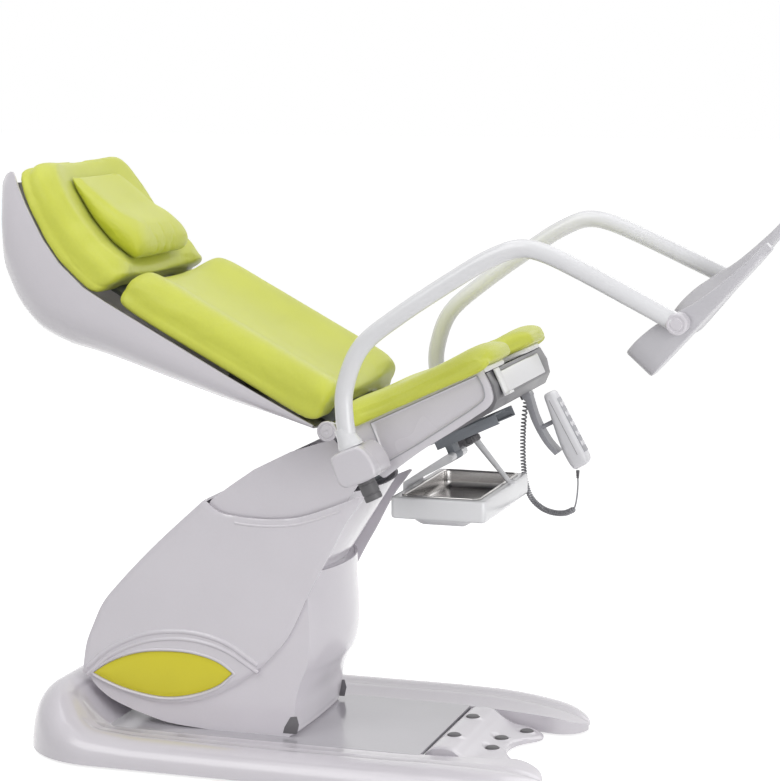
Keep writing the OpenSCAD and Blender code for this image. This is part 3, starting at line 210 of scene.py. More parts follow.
class Painter:
    """Builds the shader tree of one finish."""

    def __init__(self, finish: Finish) -> None:
        """Starts an empty material for the finish."""
        self.finish = finish
        self.material = bpy.data.materials.new(finish.name)
        self.material.use_nodes = True
        self.tree = self.material.node_tree
        self.tree.nodes.clear()

    def node(self, kind: str, settings: dict | None = None, **inputs: object) -> bpy.types.Node:
        """Adds a node to this finish's tree."""
        return add_node(self.tree, kind, settings, **inputs)

    def out(self, node: bpy.types.Node, name: str | int = 0) -> Wire:
        """Wraps an output socket of a node."""
        return Wire(self.tree, node.outputs[name])

    def place(self, stretch: Point = (1.0, 1.0, 1.0)) -> Wire:
        """Object coordinates, stretched along each axis.

        Args:
            stretch: scale along X, Y and Z.

        Returns:
            The vector.
        """
        where = self.out(self.node("ShaderNodeTexCoord"), "Object")
        return self.out(self.node("ShaderNodeMapping", Vector=where, Scale=stretch))

    def noise(self, size: float, detail: float = 3.0, stretch: Point = (1.0, 1.0, 1.0)) -> Wire:
        """Noise with features of a size in metres.

        Args:
            size: width of a feature.
            detail: octaves.
            stretch: scale along each axis.

        Returns:
            The noise from 0 to 1.
        """
        node = self.node("ShaderNodeTexNoise", Vector=self.place(stretch), Scale=1 / size, Detail=detail)
        return self.out(node, "Fac" if "Fac" in node.outputs else 0)

    def cells(self, size: float) -> Wire:
        """Distance to the edge of the nearest cell of a leather-like grain."""
        node = self.node("ShaderNodeTexVoronoi", {"feature": "DISTANCE_TO_EDGE"}, Vector=self.place(), Scale=1 / size)
        return self.out(node, "Distance")

    def mix(self, factor: Wire, first: Colour, second: Colour) -> Wire:
        """Colour between two, by a factor.

        Args:
            factor: 0 for the first colour and 1 for the second.
            first: colour at 0.
            second: colour at 1.

        Returns:
            The mixed colour.
        """
        node = self.tree.nodes.new("ShaderNodeMix")
        node.data_type = "RGBA"
        self.tree.links.new(factor.socket, node.inputs[0])
        node.inputs[6].default_value = (*first, 1.0)
        node.inputs[7].default_value = (*second, 1.0)
        return Wire(self.tree, node.outputs[2])

    def height(self) -> Wire:
        """Height of the fine surface, from 0 to 1, for the grain."""
        f = self.finish
        if f.grain is Grain.LEATHER:
            cell = self.cells(f.grain_size).ramp(0.0, 0.22)
            return cell * 0.7 + self.noise(f.grain_size * 0.35) * 0.3 + self.noise(0.03, 2.0) * 0.9
        if f.grain is Grain.BRUSHED:
            return self.noise(f.grain_size, 4.0, (1.0, 0.03, 1.0))
        if f.grain is Grain.PEEL:
            return self.noise(f.grain_size * 5, 1.0) * 0.8 + self.noise(f.grain_size, 2.0) * 0.2
        return self.noise(f.grain_size, 4.0)

    def paint(self) -> bpy.types.Material:
        """Links the colour, roughness and bump to the shader.

        Returns:
            The finished material.
        """
        f = self.finish
        tone = self.noise(0.16, 3.0)
        fine = self.noise(f.grain_size * 3, 2.0)
        dark = tuple(c * (1 - f.mottle) for c in f.colour)
        light = tuple(min(c * (1 + f.mottle * 0.6), 1.0) for c in f.colour)
        colour = self.mix((tone * 0.75 + fine * 0.25).ramp(0.3, 0.7), dark, light)
        smudge = self.noise(0.22, 2.0, (1.0, 1.4, 0.7)).ramp(0.1, 0.9)
        spread = 0.05 if f.grain in (Grain.PEEL, Grain.BRUSHED) else 0.08
        rough = smudge * spread + (f.rough - spread / 2)
        bump = self.node("ShaderNodeBump", Height=self.height(), Distance=f.relief, Strength=0.7)
        shader = self.node(
            "ShaderNodeBsdfPrincipled", Base_Color=colour, Roughness=rough, Metallic=f.metal,
            Coat_Weight=f.coat, Coat_Roughness=0.12, Sheen_Weight=f.sheen, Sheen_Roughness=0.4,
            Normal=self.out(bump))
        self.node("ShaderNodeOutputMaterial", Surface=self.out(shader))
        return self.material


FINISHES: dict[str, Finish] = {
    "shell_grey": Finish("gloss_shell_grey", (0.72, 0.69, 0.735), 0.24, Grain.PEEL, coat=0.55, mottle=0.02,
                         relief=0.00012),
    "cover_grey": Finish("gloss_cover_grey", (0.66, 0.635, 0.675), 0.27, Grain.PEEL, coat=0.45, mottle=0.02,
                         relief=0.00012),
    "white_plastic": Finish("satin_white_plastic", (0.82, 0.815, 0.83), 0.34, Grain.SATIN, coat=0.15,
                            mottle=0.02, relief=0.0001, grain_size=0.0012),
    "dark_housing": Finish("satin_dark_housing", (0.155, 0.15, 0.16), 0.4, Grain.SATIN, coat=0.15, mottle=0.08,
                           relief=0.00018, grain_size=0.0012),
    "lime_trim": Finish("satin_lime_trim", (0.74, 0.665, 0.028), 0.38, Grain.SATIN, coat=0.1, mottle=0.03,
                        relief=0.00008, grain_size=0.0012),
    "lime_upholstery": Finish("soft_lime_upholstery", (0.635, 0.675, 0.07), 0.38, Grain.LEATHER, coat=0.12,
                              mottle=0.05, relief=0.00045, grain_size=0.0019, sheen=0.15),
    "dark_plastic": Finish("satin_dark_plastic", (0.115, 0.112, 0.118), 0.42, Grain.SATIN, mottle=0.12,
                           relief=0.00018, grain_size=0.001),
    "cord_rubber": Finish("matt_cord_rubber", (0.33, 0.33, 0.35), 0.55, Grain.RUBBER, mottle=0.1,
                          relief=0.0001, grain_size=0.0008),
    "light_paint": Finish("satin_light_paint", (0.78, 0.78, 0.80), 0.25, Grain.POWDER, coat=0.4, mottle=0.02,
                          relief=0.00008, grain_size=0.0011),
    "mid_grey": Finish("satin_mid_grey", (0.36, 0.36, 0.39), 0.38, Grain.SATIN, coat=0.1, mottle=0.05,
                       relief=0.00015, grain_size=0.0013),
    "stainless": Finish("brushed_stainless", (0.56, 0.545, 0.535), 0.24, Grain.BRUSHED, metal=1.0, mottle=0.04,
                        relief=0.00001, grain_size=0.0009),
    "aluminium": Finish("satin_aluminium", (0.70, 0.71, 0.73), 0.36, Grain.BRUSHED, metal=1.0, mottle=0.05,
                        relief=0.00005, grain_size=0.0008),
    "motor_black": Finish("satin_motor_black", (0.03, 0.03, 0.033), 0.45, Grain.POWDER, mottle=0.1,
                          relief=0.0002, grain_size=0.0012),
    "steel_frame": Finish("powder_coated_steel", (0.22, 0.235, 0.26), 0.5, Grain.POWDER, mottle=0.08,
                          relief=0.0002, grain_size=0.0012),
    "handset_grey": Finish("satin_handset_grey", (0.76, 0.755, 0.785), 0.36, Grain.SATIN, coat=0.1, mottle=0.03,
                           relief=0.00012, grain_size=0.0011),
}
# finishes of pieces that differ from the rest of their slot; the deck's is the shell grey made darker as painted shade
# and painted reflection of the column
DECK_PAINTED_SHADE = Finish("gloss_deck_grey_painted_shade", (0.50, 0.485, 0.52), 0.2, Grain.PEEL, coat=0.6, mottle=0.02, relief=0.00012)
PLATE = Finish("satin_plate_grey", (0.54, 0.53, 0.56), 0.36, Grain.SATIN, coat=0.1, mottle=0.03, relief=0.00003,
               grain_size=0.0013)


# ---------------------------------------------------------------- curves and places
def table(pairs: Sequence[Sequence[float]], x: float | np.ndarray) -> np.ndarray:
    """Smooth value between the rows of a table.

    Args:
        pairs: rows of place and value, in rising order of place.
        x: place or places to read.

    Returns:
        The value at each place, held at the ends.
    """
    p = np.array(pairs, float)
    px, py = p[:, 0], p[:, 1]
    slope = np.diff(py) / np.diff(px)
    tangent = np.zeros(len(px))
    for i in range(1, len(px) - 1):
        if slope[i - 1] * slope[i] > 0:
            tangent[i] = 2 * slope[i - 1] * slope[i] / (slope[i - 1] + slope[i])
    tangent[0], tangent[-1] = slope[0], slope[-1]
    v = np.clip(np.asarray(x, float), px[0], px[-1])
    i = np.clip(np.searchsorted(px, v, side="right") - 1, 0, len(px) - 2)
    d = px[i + 1] - px[i]
    t = (v - px[i]) / d
    return ((2 * t**3 - 3 * t**2 + 1) * py[i] + (t**3 - 2 * t**2 + t) * d * tangent[i]
            + (3 * t**2 - 2 * t**3) * py[i + 1] + (t**3 - t**2) * d * tangent[i + 1])


def smooth(points: np.ndarray, steps: int, closed: bool = False, sharp: Iterable[int] = ()) -> np.ndarray:
    """Smooth line through points, or many lines side by side.

    Args:
        points: the points along the first axis.
        steps: pieces that each span is cut into.
        closed: whether the last point joins the first.
        sharp: indices at which the line keeps a corner.

    Returns:
        The finer points, along the first axis.
    """
    p = np.asarray(points, float)
    n = len(p)
    corners = set(sharp)
    nxt = np.roll(p, -1, axis=0)
    length = np.sqrt(np.linalg.norm(nxt - p, axis=-1, keepdims=True)) + 1e-6
    slope = (nxt - p) / length
    out_t, in_t = slope.copy(), np.roll(slope, 1, axis=0)
    for i in range(n):
        if (not closed and i in (0, n - 1)) or i in corners:
            continue
        before, after = length[i - 1], length[i]
        mid = (slope[i - 1] * after + slope[i] * before) / (before + after)
        out_t[i], in_t[i] = mid, mid
    made = []
    for i in range(n if closed else n - 1):
        j = (i + 1) % n
        for k in range(steps):
            t = k / steps
            made.append((2 * t**3 - 3 * t**2 + 1) * p[i] + (t**3 - 2 * t**2 + t) * length[i] * out_t[i]
                        + (3 * t**2 - 2 * t**3) * p[j] + (t**3 - t**2) * length[i] * in_t[j])
    if not closed:
        made.append(p[-1])
    return np.array(made)


def refine(grid: np.ndarray, steps: int) -> np.ndarray:
    """Closed rings of points with each span cut into smooth steps.

    Args:
        grid: rings of points, one row each.
        steps: pieces between two points of a ring.

    Returns:
        The finer rings.
    """
    return np.swapaxes(smooth(np.swapaxes(np.asarray(grid, float), 0, 1), steps, True), 0, 1)


def catmull(points: Sequence, steps: int) -> np.ndarray:
    """Smooth line through points, as many steps from end to end as given.

    Args:
        points: the points that the line passes through.
        steps: pieces of the whole line.

    Returns:
        The line's points.
    """
    p = np.asarray(points, float)
    made = []
    for k in range(steps + 1):
        u = (len(p) - 1) * k / steps
        i = min(int(u), len(p) - 2)
        t = u - i
        a, b, c, d = p[max(i - 1, 0)], p[i], p[i + 1], p[min(i + 2, len(p) - 1)]
        made.append(0.5 * ((2 * b) + (c - a) * t + (2 * a - 5 * b + 4 * c - d) * t * t
                           + (3 * b - a - 3 * c + d) * t**3))
    return np.array(made)


def unit(v: np.ndarray) -> np.ndarray:
    """Vector of length one."""
    return v / np.linalg.norm(v)


def circle(count: int, radius: float = 1.0, middle: Sequence[float] = (0.0, 0.0)) -> list[tuple[float, float]]:
    """Points evenly spaced round a circle in the plane."""
    return [(middle[0] + radius * math.cos(a), middle[1] + radius * math.sin(a))
            for a in np.linspace(0, 2 * math.pi, count, endpoint=False)]


def shifted(loop: np.ndarray, left: float) -> np.ndarray:
    """A closed loop moved to its left by a distance, which is inwards where it runs anticlockwise."""
    way = np.roll(loop, -1, axis=0) - np.roll(loop, 1, axis=0)
    normal = np.column_stack([-way[:, 1], way[:, 0]])
    return loop + left * normal / np.linalg.norm(normal, axis=1, keepdims=True)


@dataclass(frozen=True)
class Place:
    """A place with its own axes, as a 4 by 4 matrix on millimetres."""

    matrix: np.ndarray = field(default_factory=lambda: np.eye(4))

    def move(self, x: float, y: float, z: float) -> Place:
        """The place moved along its own axes."""
        m = np.eye(4)
        m[:3, 3] = (x, y, z)
        return Place(self.matrix @ m)

    def turn_y(self, angle: float) -> Place:
        """The place turned about its own Y, in degrees."""
        return Place(self.matrix @ np.array(Matrix.Rotation(math.radians(angle), 4, "Y")))

    def turn_x(self, angle: float) -> Place:
        """The place turned about its own X, in degrees."""
        return Place(self.matrix @ np.array(Matrix.Rotation(math.radians(angle), 4, "X")))

    def flip_y(self, left: bool) -> Place:
        """The place mirrored to the left side where left is true."""
        return Place(self.matrix @ np.diag([1.0, -1.0 if left else 1.0, 1.0, 1.0]))

    def at(self, points: Sequence | np.ndarray) -> np.ndarray:
        """Points of this place in the chair's own axes."""
        p = np.asarray(points, float)
        return p @ self.matrix[:3, :3].T + self.matrix[:3, 3]


# ---------------------------------------------------------------- meshes
@dataclass
class Solid:
    """Points and faces of a mesh in the making."""

    points: list = field(default_factory=list)
    faces: list = field(default_factory=list)

    def add(self, points: Sequence, faces: Sequence) -> Solid:
        """Adds points and the faces on them."""
        start = len(self.points)
        self.points += [tuple(p) for p in points]
        self.faces += [tuple(i + start for i in f) for f in faces]
        return self

    def grid(self, g: np.ndarray, caps: bool = True, closed_rows: bool = False) -> Solid:
        """Adds closed rings of points as a skin.

        Args:
            g: the rings.
            caps: whether the first and the last ring are filled.
            closed_rows: whether the last ring joins the first.

        Returns:
            This solid.
        """
        m, n = g.shape[:2]
        rows = m if closed_rows else m - 1
        faces = [(r * n + c, r * n + (c + 1) % n, (r + 1) % m * n + (c + 1) % n, (r + 1) % m * n + c)
                 for r in range(rows) for c in range(n)]
        if caps and not closed_rows:
            faces += [tuple(range(n))[::-1], tuple(range((m - 1) * n, m * n))]
        return self.add(g.reshape(-1, 3), faces)

    def lathe(self, profile: Sequence[tuple[float, float]], place: Place, around: int = 48,
              hollow: bool = False) -> Solid:
        """Adds a turned shape about a place's Z axis.

        Args:
            profile: radius and height of each ring.
            place: where the axis is.
            around: points of a ring.
            hollow: whether the last ring joins the first, round an open middle.

        Returns:
            This solid.
        """
        g = np.array([[(x, y, z) for x, y in circle(around, r)] for r, z in profile])
        return self.grid(place.at(g), closed_rows=hollow)

    def block(self, low: Point, high: Point, place: Place = Place()) -> Solid:
        """Adds a box between two corners of a place."""
        (a, b, c), (d, e, f) = low, high
        p = [(x, y, z) for x in (a, d) for y in (b, e) for z in (c, f)]
        return self.add(place.at(p), [(0, 1, 3, 2), (4, 6, 7, 5), (0, 4, 5, 1), (2, 3, 7, 6), (0, 2, 6, 4),
                                      (1, 5, 7, 3)])

    def slab(self, outline: Sequence, near: float, far: float, place: Place = Place()) -> Solid:
        """Adds an outline in a place's X-Z plane, thick from one Y to another."""
        o = np.asarray(outline, float)
        g = np.array([[(x, y, z) for x, z in o] for y in (near, far)])
        return self.grid(place.at(g))


def to_object(name: str, solid: Solid) -> bpy.types.Object:
    """Makes an object of a solid, in metres, with its doubles merged and its faces outwards."""
    mesh = bpy.data.meshes.new(name)
    mesh.from_pydata([(x * MM, y * MM, z * MM) for x, y, z in solid.points], [], solid.faces)
    obj = bpy.data.objects.new(name, mesh)
    bpy.context.scene.collection.objects.link(obj)
    tidy_mesh(obj)
    return obj


def tidy_mesh(obj: bpy.types.Object, flat: float = 0.0) -> None:
    """Merges doubles, turns faces outwards and dissolves flat joins.

    Args:
        obj: the object.
        flat: angle in degrees under which joined faces become one, or 0.
    """
    bm = bmesh.new()
    bm.from_mesh(obj.data)
    bmesh.ops.remove_doubles(bm, verts=bm.verts, dist=2e-6)
    bmesh.ops.dissolve_degenerate(bm, edges=bm.edges, dist=1e-7)
    if flat:
        bmesh.ops.dissolve_limit(bm, angle_limit=math.radians(flat), verts=bm.verts, edges=bm.edges)
    bmesh.ops.recalc_face_normals(bm, faces=bm.faces)
    bm.to_mesh(obj.data)
    bm.free()


def sharpen(obj: bpy.types.Object, angle: float = 38.0) -> None:
    """Shades a mesh smooth, with hard edges where its faces turn by more than an angle in degrees."""
    bm = bmesh.new()
    bm.from_mesh(obj.data)
    limit = math.radians(angle)
    for face in bm.faces:
        face.smooth = True
    for edge in bm.edges:
        edge.smooth = len(edge.link_faces) != 2 or edge.calc_face_angle(0.0) < limit
    bm.to_mesh(obj.data)
    bm.free()


def settle(obj: bpy.types.Object) -> None:
    """Turns an object's modifiers into plain mesh."""
    graph = bpy.context.evaluated_depsgraph_get()
    mesh = bpy.data.meshes.new_from_object(obj.evaluated_get(graph))
    obj.modifiers.clear()
    obj.data = mesh


def rounded(obj: bpy.types.Object, width: float, segments: int = 3, angle: float = 30.0) -> None:
    """Rounds an object's edges.

    Args:
        obj: the object.
        width: radius in millimetres.
        segments: faces across the round.
        angle: edges that turn by more than this, in degrees, are rounded.
    """
    bevel = obj.modifiers.new("edge", "BEVEL")
    bevel.width, bevel.segments = width * MM, segments
    bevel.limit_method, bevel.angle_limit = "ANGLE", math.radians(angle)
    bevel.use_clamp_overlap = True
    bevel.harden_normals = False
    settle(obj)


def carve(obj: bpy.types.Object, tool: Solid) -> None:
    """Cuts a solid out of an object."""
    cutter = to_object(obj.name + "_tool", tool)
    cut = obj.modifiers.new("cut", "BOOLEAN")
    cut.object, cut.operation, cut.solver = cutter, "DIFFERENCE", "EXACT"
    settle(obj)
    bpy.data.objects.remove(cutter)


def finish_piece(obj: bpy.types.Object, body: str, slot: str, replaces: Sequence[str] = (),
                 look: Finish | None = None, angle: float = 38.0) -> bpy.types.Object:
    """Dresses a piece and puts it on its body.

    Args:
        obj: the piece.
        body: the CAD body that it moves with.
        slot: the record's material slot.
        replaces: CAD nodes that it stands for.
        look: its finish, where that isn't the slot's own.
        angle: hard edges from this angle in degrees.

    Returns:
        The piece.
    """
    sharpen(obj, angle)
    obj.data.materials.clear()
    obj.data.materials.append((look or FINISHES[slot]).build())
    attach(obj, body)
    if replaces:
        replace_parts(obj, *replaces)
    LOG.info("%s: %d faces on %s", obj.name, len(obj.data.polygons), body)
    return obj


def copied(node: str, name: str, flat: float = 1.0) -> bpy.types.Object:
    """Own copy of a CAD node's mesh, merged and with its flat faces whole."""
    obj = bpy.data.objects.new(name, NODES[node].data.copy())
    obj.data.materials.clear()
    bpy.context.scene.collection.objects.link(obj)
    tidy_mesh(obj, flat)
    for layer in list(obj.data.attributes):
        if layer.name == "custom_normal":
            obj.data.attributes.remove(layer)
    return obj


def eased_copy(node: str, name: str, body: str, slot: str, width: float, segments: int = 3, angle: float = 30.0,
               look: Finish | None = None) -> None:
    """Makes a piece of a CAD node's shape, with its edges rounded.

    Args:
        node: the CAD node.
        name: the piece's name.
        body: the CAD body that it moves with.
        slot: the record's material slot.
        width: radius of its edges in millimetres.
        segments: faces across the round.
        angle: edges that turn by more than this, in degrees, are rounded.
        look: its finish, where that isn't the slot's own.
    """
    obj = copied(node, name)
    rounded(obj, width, segments, angle)
    finish_piece(obj, body, slot, [node], look)


def distance(points: np.ndarray, loop: np.ndarray) -> np.ndarray:
    """Distance from each point to a closed line of points, in the plane or in space."""
    best = np.full(len(points), 1e9)
    for p, q in zip(loop, np.roll(loop, -1, axis=0)):
        d = q - p
        t = np.clip(((points - p) @ d) / max(d @ d, 1e-12), 0, 1)
        best = np.minimum(best, np.linalg.norm(points - (p + t[:, None] * d), axis=1))
    return best


def inside(points: np.ndarray, outline: np.ndarray) -> np.ndarray:
    """Whether each point of the plane lies inside an outline."""
    x, y = points[:, 0], points[:, 1]
    hit = np.zeros(len(points), bool)
    for (ax, ay), (bx, by) in zip(outline, np.roll(outline, -1, axis=0)):
        cross = (ay > y) != (by > y)
        with np.errstate(divide="ignore", invalid="ignore"):
            hit ^= cross & (x < (bx - ax) * (y - ay) / (by - ay) + ax)
    return hit


def even(loop: np.ndarray, step: float) -> np.ndarray:
    """Points about a step apart along a closed line."""
    p = np.vstack([loop, loop[:1]])
    run = np.concatenate([[0], np.cumsum(np.linalg.norm(np.diff(p, axis=0), axis=1))])
    count = max(int(run[-1] / step), 3)
    at = np.linspace(0, run[-1], count + 1)[:count]
    return np.stack([np.interp(at, run, p[:, k]) for k in range(p.shape[1])], axis=1)


def moulding(outline: np.ndarray, height: Callable[[np.ndarray, np.ndarray], np.ndarray], low: float | Callable,
             place: Callable[[np.ndarray, np.ndarray], np.ndarray], step: float,
             lines: Sequence[np.ndarray] = ()) -> Solid:
    """A plate whose face is a height over an outline.

    Args:
        outline: closed outline in the plane, in millimetres.
        height: height at points of the plane, from the points and their distance to the outline.
        low: height of the plate's back.
        place: turns points of the plane and heights into points of the chair.
        step: spacing of the face's points.
        lines: closed lines that the face's edges follow.

    Returns:
        The closed plate.
    """
    rim = even(outline, step)
    loops = [rim, *lines]
    verts = [Vector(p) for loop in loops for p in loop]
    edges, start = [], 0
    for loop in loops:
        edges += [(start + i, start + (i + 1) % len(loop)) for i in range(len(loop))]
        start += len(loop)
    lo, hi = rim.min(0), rim.max(0)
    xs = np.arange(lo[0] + step / 2, hi[0], step)
    ys = np.arange(lo[1] + step / 2, hi[1], step)
    net = np.array([(x + (step / 2 if j % 2 else 0), y) for j, y in enumerate(ys) for x in xs])
    keep = inside(net, rim) & (distance(net, rim) > step * 0.6)
    for loop in lines:
        keep &= distance(net, loop) > step * 0.35
    verts += [Vector(p) for p in net[keep]]
    flat, _, faces, *_ = delaunay_2d_cdt(verts, edges, [list(range(len(rim)))], 1, 1e-4)
    p = np.array([tuple(v) for v in flat])
    d = distance(p, rim)
    top = place(p, height(p, d))
    solid = Solid().add(top, [tuple(f) for f in faces])
    edge_use: dict[tuple[int, int], int] = {}
    for f in faces:
        for a, b in zip(f, list(f[1:]) + [f[0]]):
            key = (min(a, b), max(a, b))
            edge_use[key] = edge_use.get(key, 0) + 1
    back = place(p, low(p, d) if callable(low) else np.full(len(p), low))
    n = len(p)
    walls = [(a, b, b + n, a + n) for (a, b), c in edge_use.items() if c == 1]
    solid.points += [tuple(q) for q in back]
    solid.faces += [tuple(i + n for i in f)[::-1] for f in faces] + walls
    return solid


# ---------------------------------------------------------------- geometry nodes
class NodeShape:
    """A geometry node tree with named sizes."""

    def __init__(self, name: str, sizes: dict[str, float]) -> None:
        """Starts the tree.

        Args:
            name: the tree's name.
            sizes: its named inputs with their values, in metres or counts.
        """
        self.tree = bpy.data.node_groups.new(name, "GeometryNodeTree")
        face = self.tree.interface
        face.new_socket("Geometry", in_out="INPUT", socket_type="NodeSocketGeometry")
        for key in sizes:
            kind = "NodeSocketInt" if key.startswith("Count") else "NodeSocketFloat"
            face.new_socket(key, in_out="INPUT", socket_type=kind)
        face.new_socket("Material", in_out="INPUT", socket_type="NodeSocketMaterial")
        face.new_socket("Geometry", in_out="OUTPUT", socket_type="NodeSocketGeometry")
        self.sizes = sizes
        self.source = self.tree.nodes.new("NodeGroupInput")
        self.sink = self.tree.nodes.new("NodeGroupOutput")

    def node(self, kind: str, **inputs: object) -> bpy.types.Node:
        """Adds a geometry node of a kind, with inputs by name as values or output sockets."""
        return add_node(self.tree, "GeometryNode" + kind, **inputs)

    def size(self, name: str) -> bpy.types.NodeSocket:
        """The socket of a named size."""
        return self.source.outputs[name]

    def end(self, geometry: bpy.types.NodeSocket) -> NodeShape:
        """Ends the tree with real geometry in its material."""
        real = self.node("RealizeInstances", Geometry=geometry)
        soft = self.node("SetShadeSmooth", Geometry=real.outputs[0])
        dressed = self.node("SetMaterial", Geometry=soft.outputs[0], Material=self.source.outputs["Material"])
        self.tree.links.new(dressed.outputs[0], self.sink.inputs[0])
        return self

    def make(self, name: str, points: np.ndarray, look: Finish, closed: bool = False) -> bpy.types.Object:
        """Runs the tree on a line of points in millimetres.

        Args:
            name: the piece's name.
            points: the line that the shape follows.
            look: its finish.
            closed: whether the line is a loop.

        Returns:
            The plain mesh piece.
        """
        mesh = bpy.data.meshes.new(name)
        n = len(points)
        edges = [(i, (i + 1) % n) for i in range(n if closed else n - 1)]
        mesh.from_pydata([tuple(p * MM) for p in np.asarray(points, float)], edges, [])
        obj = bpy.data.objects.new(name, mesh)
        bpy.context.scene.collection.objects.link(obj)
        run = obj.modifiers.new("shape", "NODES")
        run.node_group = self.tree
        for item in self.tree.interface.items_tree:
            if item.in_out == "INPUT" and item.name in self.sizes:
                run[item.identifier] = self.sizes[item.name]
            elif item.in_out == "INPUT" and item.name == "Material":
                run[item.identifier] = look.build()
        settle(obj)
        return obj


def tube_shape(radius: float, sides: int) -> NodeShape:
    """A round tube along a line, with its ends filled.

    Args:
        radius: radius in millimetres.
        sides: faces round the tube.

    Returns:
        The tree.
    """
    shape = NodeShape("tube_along_line", {"Radius": radius * MM, "Count sides": sides})
    line = shape.node("MeshToCurve", Mesh=shape.source.outputs[0])
    ring = shape.node("CurvePrimitiveCircle", Resolution=shape.size("Count sides"), Radius=shape.size("Radius"))
    tube = shape.node("CurveToMesh", Curve=line.outputs[0], Profile_Curve=ring.outputs[0], Fill_Caps=True)
    return shape.end(tube.outputs[0])


def rib_shape(width: float, height: float, lean: float) -> NodeShape:
    """Grip ribs at the points of a ring, side by side.

    Args:
        width: width of a rib in millimetres.
        height: its height.
        lean: angle in degrees by which the ribs lean about Y.

    Returns:
        The tree.
    """
    shape = NodeShape("grip_ribs", {"Width": width * MM, "Height": height * MM})
    rib = shape.node("MeshCylinder", Vertices=8, Radius=shape.size("Width"), Depth=shape.size("Height"))
    copies = shape.node("InstanceOnPoints", Points=shape.source.outputs[0], Instance=rib.outputs[0],
                        Rotation=(0.0, math.radians(lean), 0.0))
    return shape.end(copies.outputs[0])


# ---------------------------------------------------------------- the chair's own axes
# SKIN is the thickness of the moulded shells and GAP the clearance between pieces that touch. PIVOT is the shaft of
# the seat and the back, and the three angles in degrees are the seat's, the back's and the head section's.
SKIN, GAP = 5.0, 0.3
PIVOT = (92.0, 0.0, 744.0)
SEAT_TILT, BACK_TILT, HEAD_RISE = 25.0, 28.0, 31.0
SEAT = Place().move(*PIVOT).turn_y(-SEAT_TILT)
BACK = Place().move(*PIVOT).turn_y(BACK_TILT)
SEAT_W, SEAT_LEN, SEAT_PAD = 510.0, 408.0, 50.0


class Side(Enum):
    """Side of the chair, as seen from the backrest towards the foot end."""

    RIGHT = "right"
    LEFT = "left"

    @property
    def left(self) -> bool:
        """Whether this is the left side."""
        return self is Side.LEFT


SWELL_FRAMES = 20


def coords(obj: bpy.types.Object, key: str = "co") -> np.ndarray:
    """Places or normals of an object's points, one row each."""
    flat = np.zeros(len(obj.data.vertices) * 3, np.float32)
    obj.data.vertices.foreach_get(key, flat)
    return flat.reshape(-1, 3).astype(float)


def set_coords(obj: bpy.types.Object, places: np.ndarray) -> None:
    """Moves an object's points to new places."""
    obj.data.vertices.foreach_set("co", places.ravel())
    obj.data.update()


def cushion_from(name: str, solid: Solid, cap: float, voxel: float, base: Callable[[np.ndarray], np.ndarray],
                 shrink: float) -> bpy.types.Object:
    """A padded piece: its form remeshed, swelled as cloth and smoothed.

    Args:
        name: the piece's name.
        solid: its form in millimetres.
        cap: furthest that the cloth may swell, in millimetres.
        voxel: size of the remesh, in millimetres.
        base: share of the swell that each point in metres may take, 0 where it rests on something.
        shrink: how far the form is drawn in before it swells, in millimetres.

    Returns:
        The piece as plain mesh.
    """
    obj = to_object(name, solid)
    remesh = obj.modifiers.new("even", "REMESH")
    remesh.mode, remesh.voxel_size = "VOXEL", voxel * MM
    settle(obj)
    ease = obj.modifiers.new("ease", "SMOOTH")
    ease.factor, ease.iterations = 0.6, 8
    settle(obj)
    rest = coords(obj)
    share = base(rest)[:, None]
    start = rest - coords(obj, "normal") * shrink * MM * share
    set_coords(obj, start)
    cloth = obj.modifiers.new("pad", "CLOTH")
    cloth.settings.use_pressure, cloth.settings.uniform_pressure_force = True, 4.0
    cloth.settings.effector_weights.gravity = 0.0
    cloth.settings.tension_stiffness = cloth.settings.compression_stiffness = 25.0
    cloth.settings.quality = 4
    scene = bpy.context.scene
    scene.frame_start, scene.frame_end = 1, SWELL_FRAMES
    for frame in range(1, SWELL_FRAMES + 1):
        scene.frame_set(frame)
    settle(obj)
    scene.frame_set(1)
    move = coords(obj) - start
    reach = np.linalg.norm(move, axis=1, keepdims=True) + 1e-9
    set_coords(obj, start + move * (np.minimum(1.0, cap * MM / reach) * share))
    finer = obj.modifiers.new("finer", "SUBSURF")
    finer.levels = finer.render_levels = 1
    settle(obj)
    return obj


def sew(obj: bpy.types.Object, line: np.ndarray, width: float, depth: float) -> None:
    """Draws a seam into a padded piece along a closed line in millimetres."""
    co = coords(obj)
    d = distance(co / MM, even(line, 10))
    set_coords(obj, co - coords(obj, "normal") * (depth * MM * np.exp(-((d / width) ** 2)))[:, None])


